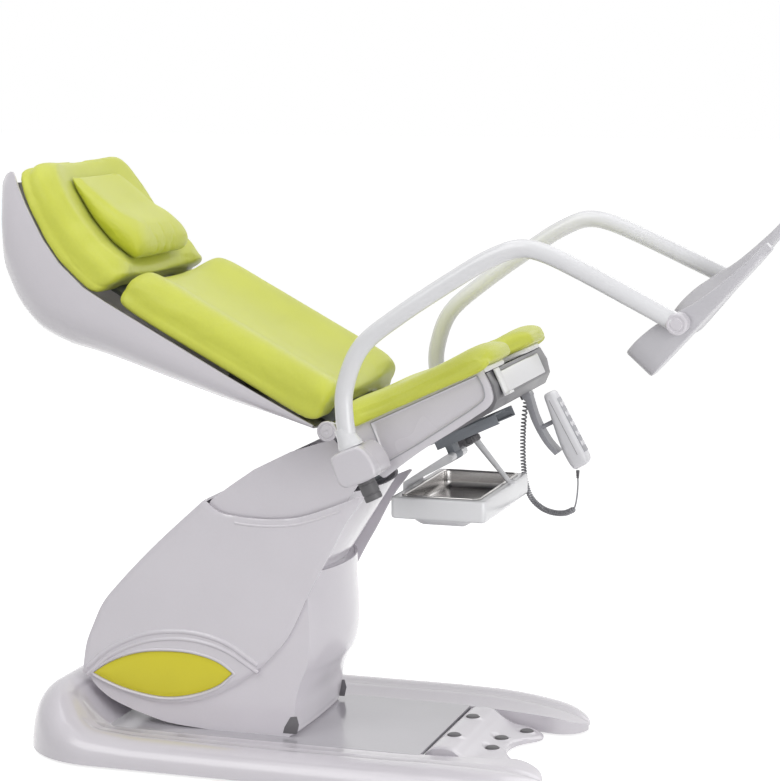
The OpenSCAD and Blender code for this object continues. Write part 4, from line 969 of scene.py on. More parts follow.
# ---------------------------------------------------------------- base
@dataclass
class Base:
    """Horseshoe base with its foot panel and buttons."""

    length: float = 1180.0
    rear: float = 620.0
    width: float = 756.0
    prong: float = 176.0
    rim_low: float = 58.0
    rim_high: float = 140.0
    deck: float = 44.0
    floor: float = 6.0
    corner: float = 200.0
    bend: float = 60.0
    panel_back: float = 286.0
    panel_len: float = 142.0
    panel_half: float = 171.0
    panel_h: float = 50.0
    button: float = 15.0
    inlet_low: Point = (-630, -42.3, 25.7)
    inlet_high: Point = (-571, 42.3, 60.3)
    mast_low: Point = (-343, -95, 0)
    mast_high: Point = (-153, 95, 60)
    bar_front: float = 336.4
    bar_clear: float = 20.3

    def rim_height(self, x: float) -> float:
        """Height of the rim at a place along the base."""
        t = (x + self.rear) / self.length
        if t > 0.8:
            return self.rim_low * float(table([[0.8, 1], [0.86, 0.94], [0.95, 0.74], [1, 0.56]], t))
        fall = table([[0, 1], [0.03, 0.88], [0.058, 0.66], [0.1, 0.34], [0.16, 0.12], [0.24, 0.02], [0.4, 0]], t)
        return self.rim_low + (self.rim_high - self.rim_low) * float(fall)

    def section(self, cx: float, cy: float, nx: float, ny: float, h: float, k: float,
                inset: float) -> list[Point]:
        """Outline of the rim's moulding across one place.

        Args:
            cx: middle of the section along X.
            cy: middle of the section along Y.
            nx: outward direction along X.
            ny: outward direction along Y.
            h: height of the rim there.
            k: share of the full section.
            inset: distance inside the outer face.

        Returns:
            Points from the outer foot to the inner foot.
        """
        outer = [[0, 0], [0.004, 0.12], [0.02, 0.34], [0.045, 0.52], [0.08, 0.67], [0.13, 0.8], [0.19, 0.895],
                 [0.26, 0.965], [0.33, 1.0], [0.4, 1.0], [0.47, 0.965], [0.54, 0.88]]
        inner = [[0.6, 0.76], [0.68, 0.56], [0.76, 0.38], [0.84, 0.22], [0.92, 0.08], [1.0, 0.0]]
        full = self.prong / 2 - inset
        rows = [(s, self.floor + (h - self.floor) * q) for s, q in outer]
        rows += [(s, self.deck + (h - self.deck) * q) for s, q in inner] + [(1.0, self.floor)]
        made = []
        for s, top in rows:
            low = min(top, h)
            z = self.floor if (s, top) == rows[-1] else max(low * (0.6 + 0.4 * k) - inset, self.floor)
            w = full * (1 - 2 * s) * k
            made.append((cx + nx * w, cy + ny * w, z))
        return made

    def rim(self) -> np.ndarray:
        """Closed sections of the rim from the right prong's tip round to the left one's."""
        front, half, reach = self.length - self.rear, self.width / 2, self.prong / 2
        runs = [0, 0.02, 0.05, 0.1, 0.17, 0.26, 0.37, 0.5, 0.65, 0.82, 1, *np.arange(1.25, 10.4, 0.25)]
        rings = []
        for s in runs:
            x = front - s * reach
            if x < self.corner - self.rear + 4:
                break
            d = min(s, 1.0)
            k = max(math.sqrt(1 - (1 - d) ** 2), 0.12)
            share = (x + self.rear) / self.length
            bend = self.bend * float(table([[0.72, 0], [0.83, 0.2], [0.93, 0.6], [1, 1]], share))
            rings.append((x, -half + reach + bend, 0, -1, self.rim_height(x), k))
        for a in np.radians(np.arange(270, 179.9, -3.75)):
            n = (math.cos(a), math.sin(a))
            cx = self.corner - self.rear + (self.corner - reach) * n[0]
            cy = self.corner - half + (self.corner - reach) * n[1]
            rings.append((cx, cy, *n, self.rim_height(cx + n[0] * reach), 1))
        for y in (-140, -95, -50, 0):
            rings.append((reach - self.rear, y, -1, 0, self.rim_high, 1))
        right = [self.section(*r, 0) + self.section(*r, SKIN)[::-1] for r in rings]
        left = [[(x, -y, z) for x, y, z in ring] for ring in right[-2::-1]]
        return np.array(right + left)

    def cover(self) -> None:
        """Moulded cover: the rim, the deck between the prongs and the opening for the mains socket."""
        half = self.width / 2 - self.prong + SKIN / 2
        x0, x1 = self.prong - self.rear - SKIN / 2, 285.0
        rim = to_object("base_moulding", Solid().grid(self.rim()))
        carve(rim, Solid().block(self.inlet_low, self.inlet_high))
        finish_piece(rim, "base", "shell_grey", ["base_cover"], angle=50)

        deck = to_object("base_deck", Solid().block((x0, -half, self.deck - SKIN), (x1, half, self.deck + 0.7)))
        carve(deck, Solid().block(self.mast_low, self.mast_high))
        # the deck is the base's shell grey plastic, dressed darker as painted shade and painted reflection of the
        # column
        finish_piece(deck, "base", "shell_grey", look=DECK_PAINTED_SHADE, angle=60)

    def panel_top(self, x: float | np.ndarray) -> np.ndarray:
        """Height of the foot panel's face."""
        rows = [[0, 0.66], [0.14, 0.94], [0.28, 1], [0.42, 0.94], [0.6, 0.62], [0.8, 0.36], [1.08, 0.27], [1.4, 0.14]]
        return self.floor + self.panel_h * table(rows, (x - self.panel_back) / self.panel_len)

    def panel(self) -> None:
        """Foot panel with a raised hump, sunk rings round the buttons and a lip along its front."""
        side = [[0, 0.97], [0.12, 1], [0.8, 0.99], [1.14, 0.93], [1.32, 0.8], [1.36, 0.66], [1.3, 0.54],
                [1.14, 0.38], [1.04, 0.22], [1, 0]]
        loop = side + [[x, -y] for x, y in side[-2::-1]]
        outline = np.array([(self.panel_back + x * self.panel_len, y * self.panel_half) for x, y in loop])
        outline = smooth(outline, 6, True, (0, 1, len(loop) - 2, len(loop) - 1))
        outline[:, 0] = np.maximum(outline[:, 0], self.panel_back)
        spots = [[0.28, -0.44], [0.28, 0.44], [0.82, -0.23], [0.82, 0.23], [1.08, -0.71], [1.08, 0.71]]
        places = np.array([(self.panel_back + x * self.panel_len, y * self.panel_half) for x, y in spots])
        turn = np.linspace(0, 2 * math.pi, 28, endpoint=False)
        rings = [c + r * np.column_stack([np.cos(turn), np.sin(turn)]) for c in places
                 for r in (self.button + 0.4, self.button + 1.2, self.button + 4.2)]

        def face(p: np.ndarray, d: np.ndarray) -> np.ndarray:
            """Face of the panel, rounded at its edge, with a well and a raised ring at each button."""
            away = [np.linalg.norm(p - c, axis=1) for c in places]
            near = np.min(away, axis=0)
            top = self.panel_top(p[:, 0]) - 3.5 * np.exp(-d / 2.2)
            flat = np.array([self.panel_top(places[i][0]) for i in np.argmin(away, axis=0)])
            level = np.clip((self.button + 7 - near) / 5, 0, 1)
            top = top * (1 - level) + (flat + 0.4) * level
            return np.where(near < self.button + 0.8, flat - 7, top)

        def under(p: np.ndarray, d: np.ndarray) -> np.ndarray:
            """Back of the panel, above the frame's bar at the rear."""
            return np.where(p[:, 0] < self.bar_front, self.bar_clear, self.floor)

        finish_piece(to_object("foot_panel_moulding", moulding(
            outline, face, under, lambda p, h: np.column_stack([p, h]), 5, rings)),
            "base", "shell_grey", ["foot_panel"], angle=50)
        for i, (x, y) in enumerate(places, 1):
            top = float(self.panel_top(x))
            place = Place().move(float(x), float(y), top)
            r = self.button
            cap = to_object(f"foot_button_cap_{i}", Solid().lathe(
                [(0.2, -2.8), (r, -2.8), (r, -1.2), (r - 0.5, 1.4), (r - 1.6, 2.9), (r - 3.2, 3.5), (r - 4.2, 3.1),
                 (r - 5.4, 3.2), (r * 0.4, 3.8), (0.2, 3.95)], place, 40))
            finish_piece(cap, f"button_{i}", "dark_plastic", [f"foot_button_{i}"])

    def inlet(self) -> None:
        """Mains socket with its earth and live pins, and the rocker beside it."""
        for node, body, width in (("mains_inlet", "base", 1.2), ("mains_switch", "switch", 1.0)):
            eased_copy(node, node + "_moulding", body, "dark_plastic", width, 2)
        pins = Solid()
        for y, z in ((-27, 47), (-15, 47), (-21, 38)):
            pins.block((-608, y - 1, z - 3), (-575, y + 1, z + 3))
        finish_piece(to_object("mains_pins", pins), "base", "stainless")

    def build(self) -> None:
        """Makes the base's pieces."""
        self.cover()
        self.panel()
        self.inlet()


# ---------------------------------------------------------------- column
@dataclass
class Column:
    """Slanted lift column: lower casing, side shells with their inserts, rear cover and upper casing."""

    back: float = -520.0
    length: float = 600.0
    height: float = 750.0
    outer: float = 171.0
    wall: float = 8.0
    crown: float = 3.0
    crown_run: float = 60.0
    edge: float = 3.2
    edge_run: float = 2.0
    bow: float = 44.0
    corner_in: float = 4.0
    lip: float = 2.2
    lip_z: float = 50.0
    lip_width: float = 6.0
    rear: tuple = ((0, 0.205), (0.006, 0.245), (0.018, 0.297), (0.045, 0.352), (0.088, 0.423), (0.16, 0.492),
                   (0.3, 0.608), (0.497, 0.753))
    arc: tuple = ((0.558, 0.72), (0.64, 0.71), (0.715, 0.707), (0.79, 0.71), (0.87, 0.72), (1, 0.757),
                  (1.115, 0.797))
    front: tuple = ((1.125, 0.795), (1.05, 0.712), (0.985, 0.614), (0.94, 0.55), (0.895, 0.48), (0.861, 0.42),
                    (0.812, 0.348), (0.763, 0.302), (0.714, 0.262), (0.635, 0.215), (0.556, 0.178),
                    (0.456, 0.146), (0.355, 0.133), (0.254, 0.137), (0.153, 0.159), (0.02, 0.198))
    almond: tuple = ((0.044, 0.206), (0.098, 0.236), (0.155, 0.259), (0.237, 0.28), (0.338, 0.29), (0.445, 0.289),
                     (0.547, 0.269), (0.606, 0.239), (0.546, 0.198), (0.441, 0.164), (0.33, 0.15),
                     (0.189, 0.164), (0.092, 0.188))
    ridge: tuple = ((0.021, 0.222), (0.11, 0.283), (0.238, 0.333), (0.339, 0.351), (0.459, 0.353), (0.577, 0.331),
                    (0.705, 0.271))

    @property
    def casing_half(self) -> float:
        """Half width of the lower casing, between the side shells."""
        return self.outer - self.wall - GAP

    def at(self, shares: Sequence) -> np.ndarray:
        """Points of the column's side frame in millimetres."""
        s = np.asarray(shares, float)
        return np.column_stack([self.back + s[:, 0] * self.length, s[:, 1] * self.height])

    def leaf(self) -> np.ndarray:
        """Outline of a side shell."""
        loop = [*self.rear, *self.arc, *self.front]
        n, m = len(self.rear), len(self.rear) + len(self.arc)
        return smooth(self.at(loop), 6, True, (0, n - 1, m - 1, m, len(loop) - 1))

    def eye(self, grow: float) -> np.ndarray:
        """Outline of the insert, grown outwards by a clearance."""
        return shifted(smooth(self.at(self.almond), 6, True, (0, 7)), grow)

    def crowned(self, d: np.ndarray) -> np.ndarray:
        """Height of a side shell's face at distances from its outline."""
        return self.outer - self.edge * np.exp(-d / self.edge_run) + self.crown * (1 - np.exp(-d / self.crown_run))

    def side(self, side: Side) -> None:
        """One side shell with its double ridge and its insert."""
        leaf, eye = self.leaf(), self.eye(0.8)
        upper = smooth(self.at(self.ridge), 8)
        lower = smooth(self.at(self.ridge) - (0, 17), 8)
        sign = 1 if side.left else -1
        arc = smooth(self.at(self.arc), 8)

        def place(p: np.ndarray, h: np.ndarray) -> np.ndarray:
            """Plane of the side, with heights outwards."""
            return np.column_stack([p[:, 0], sign * h, p[:, 1]])

        def face(p: np.ndarray, d: np.ndarray) -> np.ndarray:
            """Crowned face with a recess for the insert."""
            return np.where(inside(p, self.eye(0.45)), self.outer - self.wall / 2 + 0.6, self.crowned(d))

        shell = to_object(f"column_side_{side.value}", moulding(leaf, face, self.outer - self.wall, place, 7, [
            even(eye, 5), even(self.eye(0.1), 5)]))
        finish_piece(shell, "base", "shell_grey", [f"side_shell_{side.value}"], angle=34)

        def pad(p: np.ndarray, d: np.ndarray) -> np.ndarray:
            """Softly crowned insert with a rounded edge."""
            return self.outer - 1.6 * np.exp(-d / 1.3) + 3.4 * (1 - np.exp(-d / 24))

        insert = to_object(f"accent_panel_{side.value}", moulding(
            self.eye(-0.8), pad, self.outer - self.wall / 2 + 0.8, place, 6))
        finish_piece(insert, "base", "lime_trim", [f"accent_insert_{side.value}"], angle=40)
        beads = (("upper", upper, 6.0, -2.2), ("lower", lower, 5.0, -1.6), ("frame", self.eye(4.2), 3.4, -1.4),
                 ("arc", arc[6:-6] - (0, 15), 4.0, -2.4))
        for key, line, radius, rise in beads:
            on_face = place(line, self.crowned(distance(line, leaf)) + rise)
            bead = tube_shape(radius, 16).make(f"side_{key}_ridge_{side.value}", on_face, FINISHES["shell_grey"],
                                               key == "frame")
            finish_piece(bead, "base", "shell_grey", angle=60)

    def back_cover(self) -> None:
        """Curved rear cover between the side shells, with a sunk seam down each side."""
        line = smooth(self.at(self.rear), 5)
        inner = self.outer - self.wall
        ys = np.array([-1, -0.985, -0.95, -0.93, -0.925, -0.9, -0.6, -0.3, 0, 0.3, 0.6, 0.9, 0.925, 0.93, 0.95,
                       0.985, 1.0]) * inner
        drop = np.array([0.4, 0, 0, 1.6, 1.6, 0, 0, 0, 0, 0, 0, 0, 1.6, 1.6, 0, 0, 0.4])
        way = np.gradient(line, axis=0)
        normal = np.column_stack([way[:, 1], -way[:, 0]]) / np.linalg.norm(way, axis=1, keepdims=True)
        outer = [[(p[0] + q[0] * s, y, p[1] + q[1] * s) for y, s in zip(ys, drop)] for p, q in zip(line, normal)]
        back = [[(p[0] + q[0] * SKIN, y, p[1] + q[1] * SKIN) for y in ys[::-1]] for p, q in zip(line, normal)]
        g = np.array([a + b for a, b in zip(outer, back)])
        finish_piece(to_object("column_rear_cover", Solid().grid(g)), "base", "shell_grey", ["rear_cover"], angle=30)

    def skirt(self) -> None:
        """Lower casing, bowed at its front, with a bright lip along its foot."""
        rows = np.array([[0.0591, 0.5, 0.826], [0.07, 0.33, 0.834], [0.086, 0.25, 0.84], [0.104, 0.176, 0.844],
                         [0.136, 0.085, 0.85], [0.186, 0.02, 0.858], [0.24, 0.012, 0.88], [0.277, 0.03, 0.9],
                         [0.353, 0.055, 0.908], [0.427, 0.11, 0.906], [0.48, 0.16, 0.902], [0.553, 0.26, 0.9]])
        bows = [[0.06, 0.12], [0.16, 0.3], [0.24, 0.6], [0.35, 0.9], [0.48, 0.9]]
        rows = smooth(rows, 4)
        half = self.casing_half
        rings = []
        for t in (0.0, SKIN):
            made = []
            for z, x0, x1 in rows:
                bow = self.bow * float(table(bows, z))
                rise = (z * self.height - self.lip_z) / self.lip_width
                lip = self.lip * math.exp(-(rise**2)) if t == 0 else 0.0
                xa = self.back + x0 * self.length + SKIN + GAP + t
                xb = self.back + x1 * self.length - t + lip
                ring = [(xa + (xb - xa) * s, half - t, z * self.height) for s in (0, 0.5, 0.97)]
                for a in np.linspace(1, -1, 25):
                    edge = 1 - abs(a) ** 14
                    ring.append((xb + bow * (1 - a * a) + self.corner_in * (edge - 1), (half - t) * a, z * self.height))
                ring += [(xa + (xb - xa) * s, t - half, z * self.height) for s in (0.97, 0.5, 0)]
                made.append(ring)
            rings.append(np.array(made))
        outer, inner = rings
        skin = Solid().grid(outer, caps=False).grid(inner[:, ::-1], caps=False)
        n, k = outer.shape[1], len(outer) * outer.shape[1]
        last = (len(outer) - 1) * n
        for base in (0, last):
            skin.faces += [(base + i, base + (i + 1) % n, k + base + n - 1 - (i + 1) % n, k + base + n - 1 - i)
                           for i in range(n)]
        finish_piece(to_object("lower_casing", skin), "base", "shell_grey", ["front_skirt"], angle=36)

    def clip_recess_shade_plates(self) -> None:
        """Dark plate on each side of the lower casing, painted shade where a clip recess sits."""
        shape, half = [(-42, 52), (-9, 52), (-4, 74), (-9, 92), (-24, 90), (-38, 66)], self.casing_half
        clip = to_object("casing_clip_recess_shade_plate", Solid().slab(shape, -half - 0.8, -half + 1).slab(
            shape, half - 1, half + 0.8))
        rounded(clip, 0.7, 2)
        # dark_housing on this flat plate is painted shade of the clip recess
        finish_piece(clip, "base", "dark_housing")

    def wiper_lip(self) -> None:
        """Lip along the front of the lower casing's mouth, close to the upper casing."""
        edge = [(0, 41.8, 55.3), (30, 39.4, 52.6), (60, 35.4, 48.8), (85, 30.4, 43.2), (105, 25.4, 38.2),
                (125, 19.4, 33.0), (142, 13.4, 28.6), (154, 8.4, 23.5)]
        half_line = smooth(np.array(edge, float), 3)
        line = np.vstack([half_line[:0:-1] * (-1, 1, 1), half_line])
        lip = Solid().grid(np.array([[(a, y, 416.5), (b - 2, y, 413), (b, y, 410.5), (b, y, 407), (a, y, 412.5)]
                                     for y, a, b in line]))
        finish_piece(to_object("casing_wiper_lip", lip), "base", "cover_grey")

    def casing(self) -> None:
        """Upper casing that travels with the lift."""
        obj = copied("upper_shell", "upper_casing", 0.2)
        finish_piece(obj, "upper", "shell_grey", ["upper_shell"], angle=32)

    def build(self) -> None:
        """Makes the column's pieces."""
        self.side(Side.RIGHT)
        self.side(Side.LEFT)
        self.back_cover()
        self.skirt()
        self.clip_recess_shade_plates()
        self.wiper_lip()
        self.casing()


# ---------------------------------------------------------------- seat
@dataclass
class Seat:
    """Seat: cushion, side covers, dark front housing and pull-out leaf."""

    width: float = SEAT_W
    length: float = SEAT_LEN
    pad: float = SEAT_PAD
    pad_low: float = -8.2
    heel_gap: float = 27.0
    dish: float = 10.0
    droop: float = 11.0
    corner_fall: float = 24.0
    notch_half: float = 70.0
    notch_len: float = 78.0
    cover: float = 10.0
    panel_slope: float = 4.0
    panel_depth: float = 3.4
    frame_half: float = 130.0
    beam: tuple = (74.0, -87.0)
    beam_hole: float = 17.0

    def front(self, v: float) -> float:
        """How far forward the seat reaches at a distance from its middle."""
        notch = table([[0, 1], [0.6, 0.94], [0.9, 0.66], [1.15, 0.2], [1.4, 0]], abs(v) / self.notch_half)
        fall = table([[0.7, 0], [0.85, 0.2], [1, 1]], abs(v) / (self.width / 2))
        return self.length - self.notch_len * float(notch) - self.corner_fall * float(fall)

    def slice(self, v: float) -> list[Point]:
        """Closed outline of the cushion at a distance from its middle."""
        rows = [[0, 0.35], [0.015, 0.12], [0.05, 0], [0.35, 0], [0.65, 0], [0.93, 0], [0.985, 0.12], [1, 0.4],
                [0.985, 0.68], [0.94, 0.9], [0.87, 1], [0.7, 0.96], [0.5, 0.9], [0.3, 0.92], [0.13, 0.98],
                [0.06, 0.92], [0.02, 0.7]]
        share = v / (self.width / 2)
        k = math.sqrt(max(1 - abs(share) ** 9, 0.2))
        droop = self.droop * float(table([[0.91, 0], [0.955, 1], [1, 0.9]], abs(share)))
        run = self.front(v) - self.heel_gap
        dish = self.dish * (1 - share * share)
        return [(self.heel_gap + run / 2 + (x - 0.5) * run * (0.97 + 0.03 * k), v,
                 self.pad_low + (1 - k) * self.pad * 0.16 - droop * (1 - z)
                 + z * (self.pad * k - (dish if 0.2 < x < 0.8 else dish / 2)))
                for x, z in rows]

    def cushion(self) -> None:
        """Seat cushion with two front lobes, swelled as cloth, with its sewn seam."""
        cuts = np.sin(np.linspace(-math.pi / 2, math.pi / 2, 49)) * 0.55 + np.linspace(-1, 1, 49) * 0.45
        g = np.array([self.slice(v * self.width / 2) for v in cuts])
        g = refine(g, 3)
        low = self.pad_low

        def share(p: np.ndarray) -> np.ndarray:
            """None of the swell where the cushion lies on its pan."""
            w = (p / MM - SEAT.at([0, 0, 0])) @ SEAT.matrix[:3, 2]
            return np.clip((w - low - 1.5) / 14, 0, 1)

        obj = cushion_from("seat_upholstery", Solid().grid(SEAT.at(g)), 5.0, 5.0, share, 4.0)
        half = self.width / 2
        line = [(31 + 8 * (abs(v) > 0.93), v * half, low + 13) for v in np.linspace(-0.955, 0.955, 25)]
        line += [(self.front(v * half) - 2.5 - 16 * max(abs(v) - 0.85, 0) / 0.1, v * half, low + 13)
                 for v in np.linspace(0.955, -0.955, 61)]
        seam = SEAT.at(smooth(np.array(line), 2, True))
        sew(obj, seam, 3.2, 2.4)
        finish_piece(obj, "seat", "lime_upholstery", ["seat_cushion"], angle=180)

    def side(self, side: Side) -> None:
        """Glossy side cover with a sunk panel."""
        rim = np.array([[0.085, -0.03], [0.21, -0.023], [0.895, -0.023], [0.902, -0.115], [0.885, -0.19],
                        [0.843, -0.218], [0.78, -0.23], [0.635, -0.255], [0.414, -0.287], [0.18, -0.34],
                        [0.135, -0.277]]) * self.length
        panel = np.array([[0.235, -0.05], [0.225, -0.27], [0.42, -0.247], [0.63, -0.214], [0.79, -0.186],
                          [0.85, -0.165], [0.868, -0.115], [0.865, -0.045]]) * self.length
        inner = self.width / 2 - 5 * SKIN
        outline = smooth(rim, 5, True, (0, 2, 9, 10))
        sunk = smooth(panel, 6, True, (0, 1, 7))
        sign = 1 if side.left else -1

        def place(p: np.ndarray, h: np.ndarray) -> np.ndarray:
            """Plane of the seat's side, with heights outwards."""
            return SEAT.at(np.column_stack([p[:, 0], sign * h, p[:, 1]]))

        def face(p: np.ndarray, d: np.ndarray) -> np.ndarray:
            """Face with a rounded edge and a sunk panel."""
            depth = np.clip(distance(p, sunk) * np.where(inside(p, sunk), 1, -1) / self.panel_slope, 0, 1)
            edge, crown = 2.6 * np.exp(-d / 1.8), 1.2 * (1 - np.exp(-d / 30))
            return inner + self.cover - edge + crown - self.panel_depth * depth

        obj = to_object(f"seat_cover_{side.value}", moulding(outline, face, inner, place, 6, [
            even(sunk, 5), even(shifted(sunk, self.panel_slope), 5)]))
        near, far = sorted((sign * (inner - 5), sign * (inner + 20)))
        carve(obj, Solid().slab(circle(32, self.beam_hole, self.beam), near, far, SEAT))
        finish_piece(obj, "seat", "cover_grey", [f"seat_side_{side.value}"], angle=36)
        joint = even(sunk, 4)
        bead = tube_shape(1.3, 10).make(f"seat_cover_joint_{side.value}", place(
            joint, np.full(len(joint), inner + self.cover + 0.6)), FINISHES["mid_grey"], True)
        finish_piece(bead, "seat", "mid_grey", angle=60)
        near, far = sorted((sign * (self.frame_half + GAP), sign * (inner + 1)))
        arm = Solid().block((132, near, -25.3), (264, far, -20.3), SEAT)
        finish_piece(to_object(f"seat_cover_bracket_{side.value}", arm), "seat", "steel_frame")

    def housing(self) -> None:
        """Dark nose under the front, white pan, leaf and the leaf's side guide."""
        for node, name, slot, width in (
                ("seat_front_housing", "dark_front_housing", "dark_housing", 4.0),
                ("seat_pan", "seat_pan_moulding", "white_plastic", 3.0),
                ("front_leaf", "pull_out_leaf", "white_plastic", 2.6),
                ("leaf_guide", "leaf_side_guide", "white_plastic", 1.8)):
            eased_copy(node, name, "leaf" if node == "front_leaf" else "seat", slot, width, angle=25)

    def frame(self) -> None:
        """Steel under the seat with eased edges, and the rails for the tray, whose stainless is drawn in the dark frame
        finish as painted shade under the seat.
        """
        for node, slot, width in (("seat_frame", "steel_frame", 1.5), ("tray_rails", "stainless", 0.8)):
            # the stainless rails take the dark frame finish as painted shade under the seat
            eased_copy(node, node + "_steel", "seat", slot, width, 2, look=FINISHES["steel_frame"])

    def build(self) -> None:
        """Makes the seat's pieces."""
        self.cushion()
        self.side(Side.RIGHT)
        self.side(Side.LEFT)
        self.housing()
        self.frame()


# ---------------------------------------------------------------- back
@dataclass
class Backrest:
    """Backrest: moulded shell, back cushion, head cushion and neck pillow."""

    back_len: float = 575.0
    head_len: float = 350.0
    half: float = 265.0
    depth: float = 175.0
    pad: float = 80.0
    rim_low: float = -4.0
    side_gap: float = 2.5
    heel_gap: float = 24.0
    head_share: float = 0.962
    line_rows: tuple = ((0.6, 0), (0.67, 0.015), (0.753, 0.153), (0.814, 0.342), (0.893, 0.677), (0.951, 0.96),
                        (1, 1.19))
    section_rows: tuple = (
        (-1, 0.1), (-0.985, -0.1), (-0.94, -0.14), (-0.8, -0.14), (-0.64, -0.14), (-0.6, 0), (-0.28, 0), (0, 0),
        (0.28, 0), (0.6, 0), (0.64, -0.14), (0.8, -0.14), (0.94, -0.14), (0.985, -0.1), (1, 0.1), (1, 0.5),
        (0.97, 0.78), (0.88, 0.95), (0.78, 1), (0.66, 0.93), (0.5, 0.78), (0.28, 0.66), (0, 0.62), (-0.28, 0.66),
        (-0.5, 0.78), (-0.66, 0.93), (-0.78, 1), (-0.88, 0.95), (-0.97, 0.78), (-1, 0.5))
    head_rows: tuple = ((0, 0.95, 0.5, 0.3), (0.02, 0.98, 0.92, 0.1), (0.07, 1, 1.18, 0.02),
                        (0.0992, 1, 1.194, 0.0155), (0.2, 1, 1.24, 0), (0.3553, 1, 1.17, 0), (0.4, 1, 1.15, 0),
                        (0.5434, 0.989, 1.078, 0), (0.6, 0.985, 1.05, 0), (0.75, 0.97, 1, 0),
                        (0.7871, 0.961, 0.985, 0), (0.87, 0.94, 0.95, 0), (0.94, 0.89, 0.86, 0.03),
                        (0.9661, 0.844, 0.756, 0.076), (0.98, 0.82, 0.7, 0.1), (1, 0.74, 0.45, 0.22))
    back_rows: tuple = ((0, 0.93, 0.45, 0.26), (0.012, 0.97, 0.75, 0.12), (0.04, 0.995, 0.93, 0.03), (0.1, 1, 1, 0),
                        (0.3, 1, 1, 0), (0.5, 1, 1, 0), (0.7, 1, 1, 0), (0.88, 0.99, 1, 0), (0.95, 0.985, 0.93, 0.02),
                        (0.985, 0.96, 0.72, 0.1), (1, 0.92, 0.4, 0.26))
    shell_rows: tuple = (
        (0.035, 0.93, 0.1, 0), (0.1, 0.96, 0.2, 0), (0.25, 1, 0.42, 0), (0.42, 1, 0.62, 0), (0.58, 1, 0.8, 0),
        (0.66, 1, 0.93, 0), (0.72, 1, 1.05, 0), (0.753, 0.997, 1.1, 0), (0.78, 0.995, 1.14, 0),
        (0.814, 0.989, 1.163, 0), (0.84, 0.985, 1.18, 0), (0.893, 0.97, 1.14, 0),
        (0.93, 0.95, 1, 0), (0.957, 0.92, 0.8, 0), (0.975, 0.87, 0.5, 0.12), (0.987, 0.8, 0.26, 0.26),
        (0.992, 0.72, 0.1, 0.34))

    @property
    def length(self) -> float:
        """Length of the whole back."""
        return self.back_len + self.head_len

    @property
    def head_start(self) -> float:
        """Distance of the head cushion from the pivot."""
        return self.back_len + 3 * SKIN

    @property
    def head_run(self) -> float:
        """Length of the head cushion."""
        return self.head_share * self.length - self.head_start

    @property
    def head_pad(self) -> float:
        """Thickness of the head cushion."""
        return 0.95 * self.pad

    def line_low(self, s: float) -> float:
        """Height of the rim line at a distance from the pivot."""
        rise = self.length * 0.25 * math.tan(math.radians(HEAD_RISE))
        return self.rim_low + rise * float(np.interp(s / self.length, *zip(*self.line_rows)))

    def on_line(self, s: float, y: float, h: float) -> Point:
        """Point over the head section's line."""
        lean = math.radians(HEAD_RISE)
        return (h * math.sin(lean) - s, y, self.line_low(s) + h * math.cos(lean))

    def shell(self) -> None:
        """Moulded shell: a tub with a soft crease along its side and a flat panel at its lower end."""
        angles = np.radians(np.linspace(0, 180, 31))
        rows = smooth(np.array(self.shell_rows), 5)
        rings = []
        for s, half_share, deep, drop in rows:
            x, rim = -s * self.length, self.line_low(s * self.length) - drop * self.depth
            ring = []
            for t in (0.0, SKIN):
                half, d = half_share * self.half - t, deep * self.depth - t
                side = []
                for a in angles:
                    c, q = math.cos(a), math.sin(a)
                    y = half * math.copysign(abs(c) ** 0.6, c) if abs(c) > 1e-9 else 0.0
                    z = rim - d * max(q, 0.0) ** 0.7
                    if t == 0 and 0.2 < q < 0.97:
                        crease = math.exp(-(((q - 0.62) / 0.055) ** 2)) * min(deep, 1) * 3.4
                        y -= math.copysign(crease, c)
                        z += crease * 0.35
                    side.append((x, y, z))
                ring += side if t == 0 else side[::-1]
            rings.append(ring)
        obj = to_object("back_moulding", Solid().grid(BACK.at(np.array(rings))))
        finish_piece(obj, "back", "shell_grey", ["back_shell"], angle=50)
        trim = Solid()
        for sign in (-1, 1):
            y0, y1 = sorted((sign * 145, sign * 139))
            trim.slab([(-277, -5), (-277, -72), (-425, -100), (-425, -5)], y0, y1, BACK)
        finish_piece(to_object("back_shell_ribs", trim), "back", "shell_grey")

    def pad_ring(self, x: float, half: float, low: float, t: float, level: float = 1.0) -> list[Point]:
        """Closed cushion outline at one place along the back."""
        return [(x, y * half, low + t * (level * z + (1 - level) * min(z * 2, 1) * 0.8)) for y, z in
                self.section_rows]

    def resting(self, clear: float) -> Callable[[np.ndarray], np.ndarray]:
        """Share of the swell over a cushion's points, none near the line that it rests on."""
        def share(p: np.ndarray) -> np.ndarray:
            """Share at points in metres."""
            local = (p / MM - BACK.at([0, 0, 0])) @ BACK.matrix[:3, :3]
            line = np.array([self.line_low(s) for s in -local[:, 0]])
            return np.clip((local[:, 2] - line - clear) / 22, 0, 1)
        return share

    def back_cushion(self) -> None:
        """Back cushion, swelled as cloth, with its seam."""
        rows = smooth(np.array(self.back_rows), 3)
        run = self.back_len - self.heel_gap - 5 * SKIN
        g = np.array([self.pad_ring(-self.heel_gap - s * run, w * (self.half - self.side_gap), 11.3 + up * self.pad,
                                    t * self.pad) for s, w, t, up in rows])
        obj = cushion_from("back_upholstery", Solid().grid(BACK.at(refine(g, 2))), 5.0, 6.6,
                           self.resting(18), 4.0)
        w = self.half - 4
        seam = [(-26, -w * 0.93, 36), (-40, -w, 30), (-180, -w, 28), (-400, -w, 28), (-530, -w * 0.985, 30),
                (-548, -w * 0.93, 36), (-550, 0, 34), (-548, w * 0.93, 36), (-530, w * 0.985, 30), (-400, w, 28),
                (-180, w, 28), (-40, w, 30), (-26, w * 0.93, 36), (-24, 0, 36)]
        sew(obj, BACK.at(smooth(np.array(seam, float), 6, True)), 3.4, 2.6)
        finish_piece(obj, "back", "lime_upholstery", ["back_cushion"], angle=180)

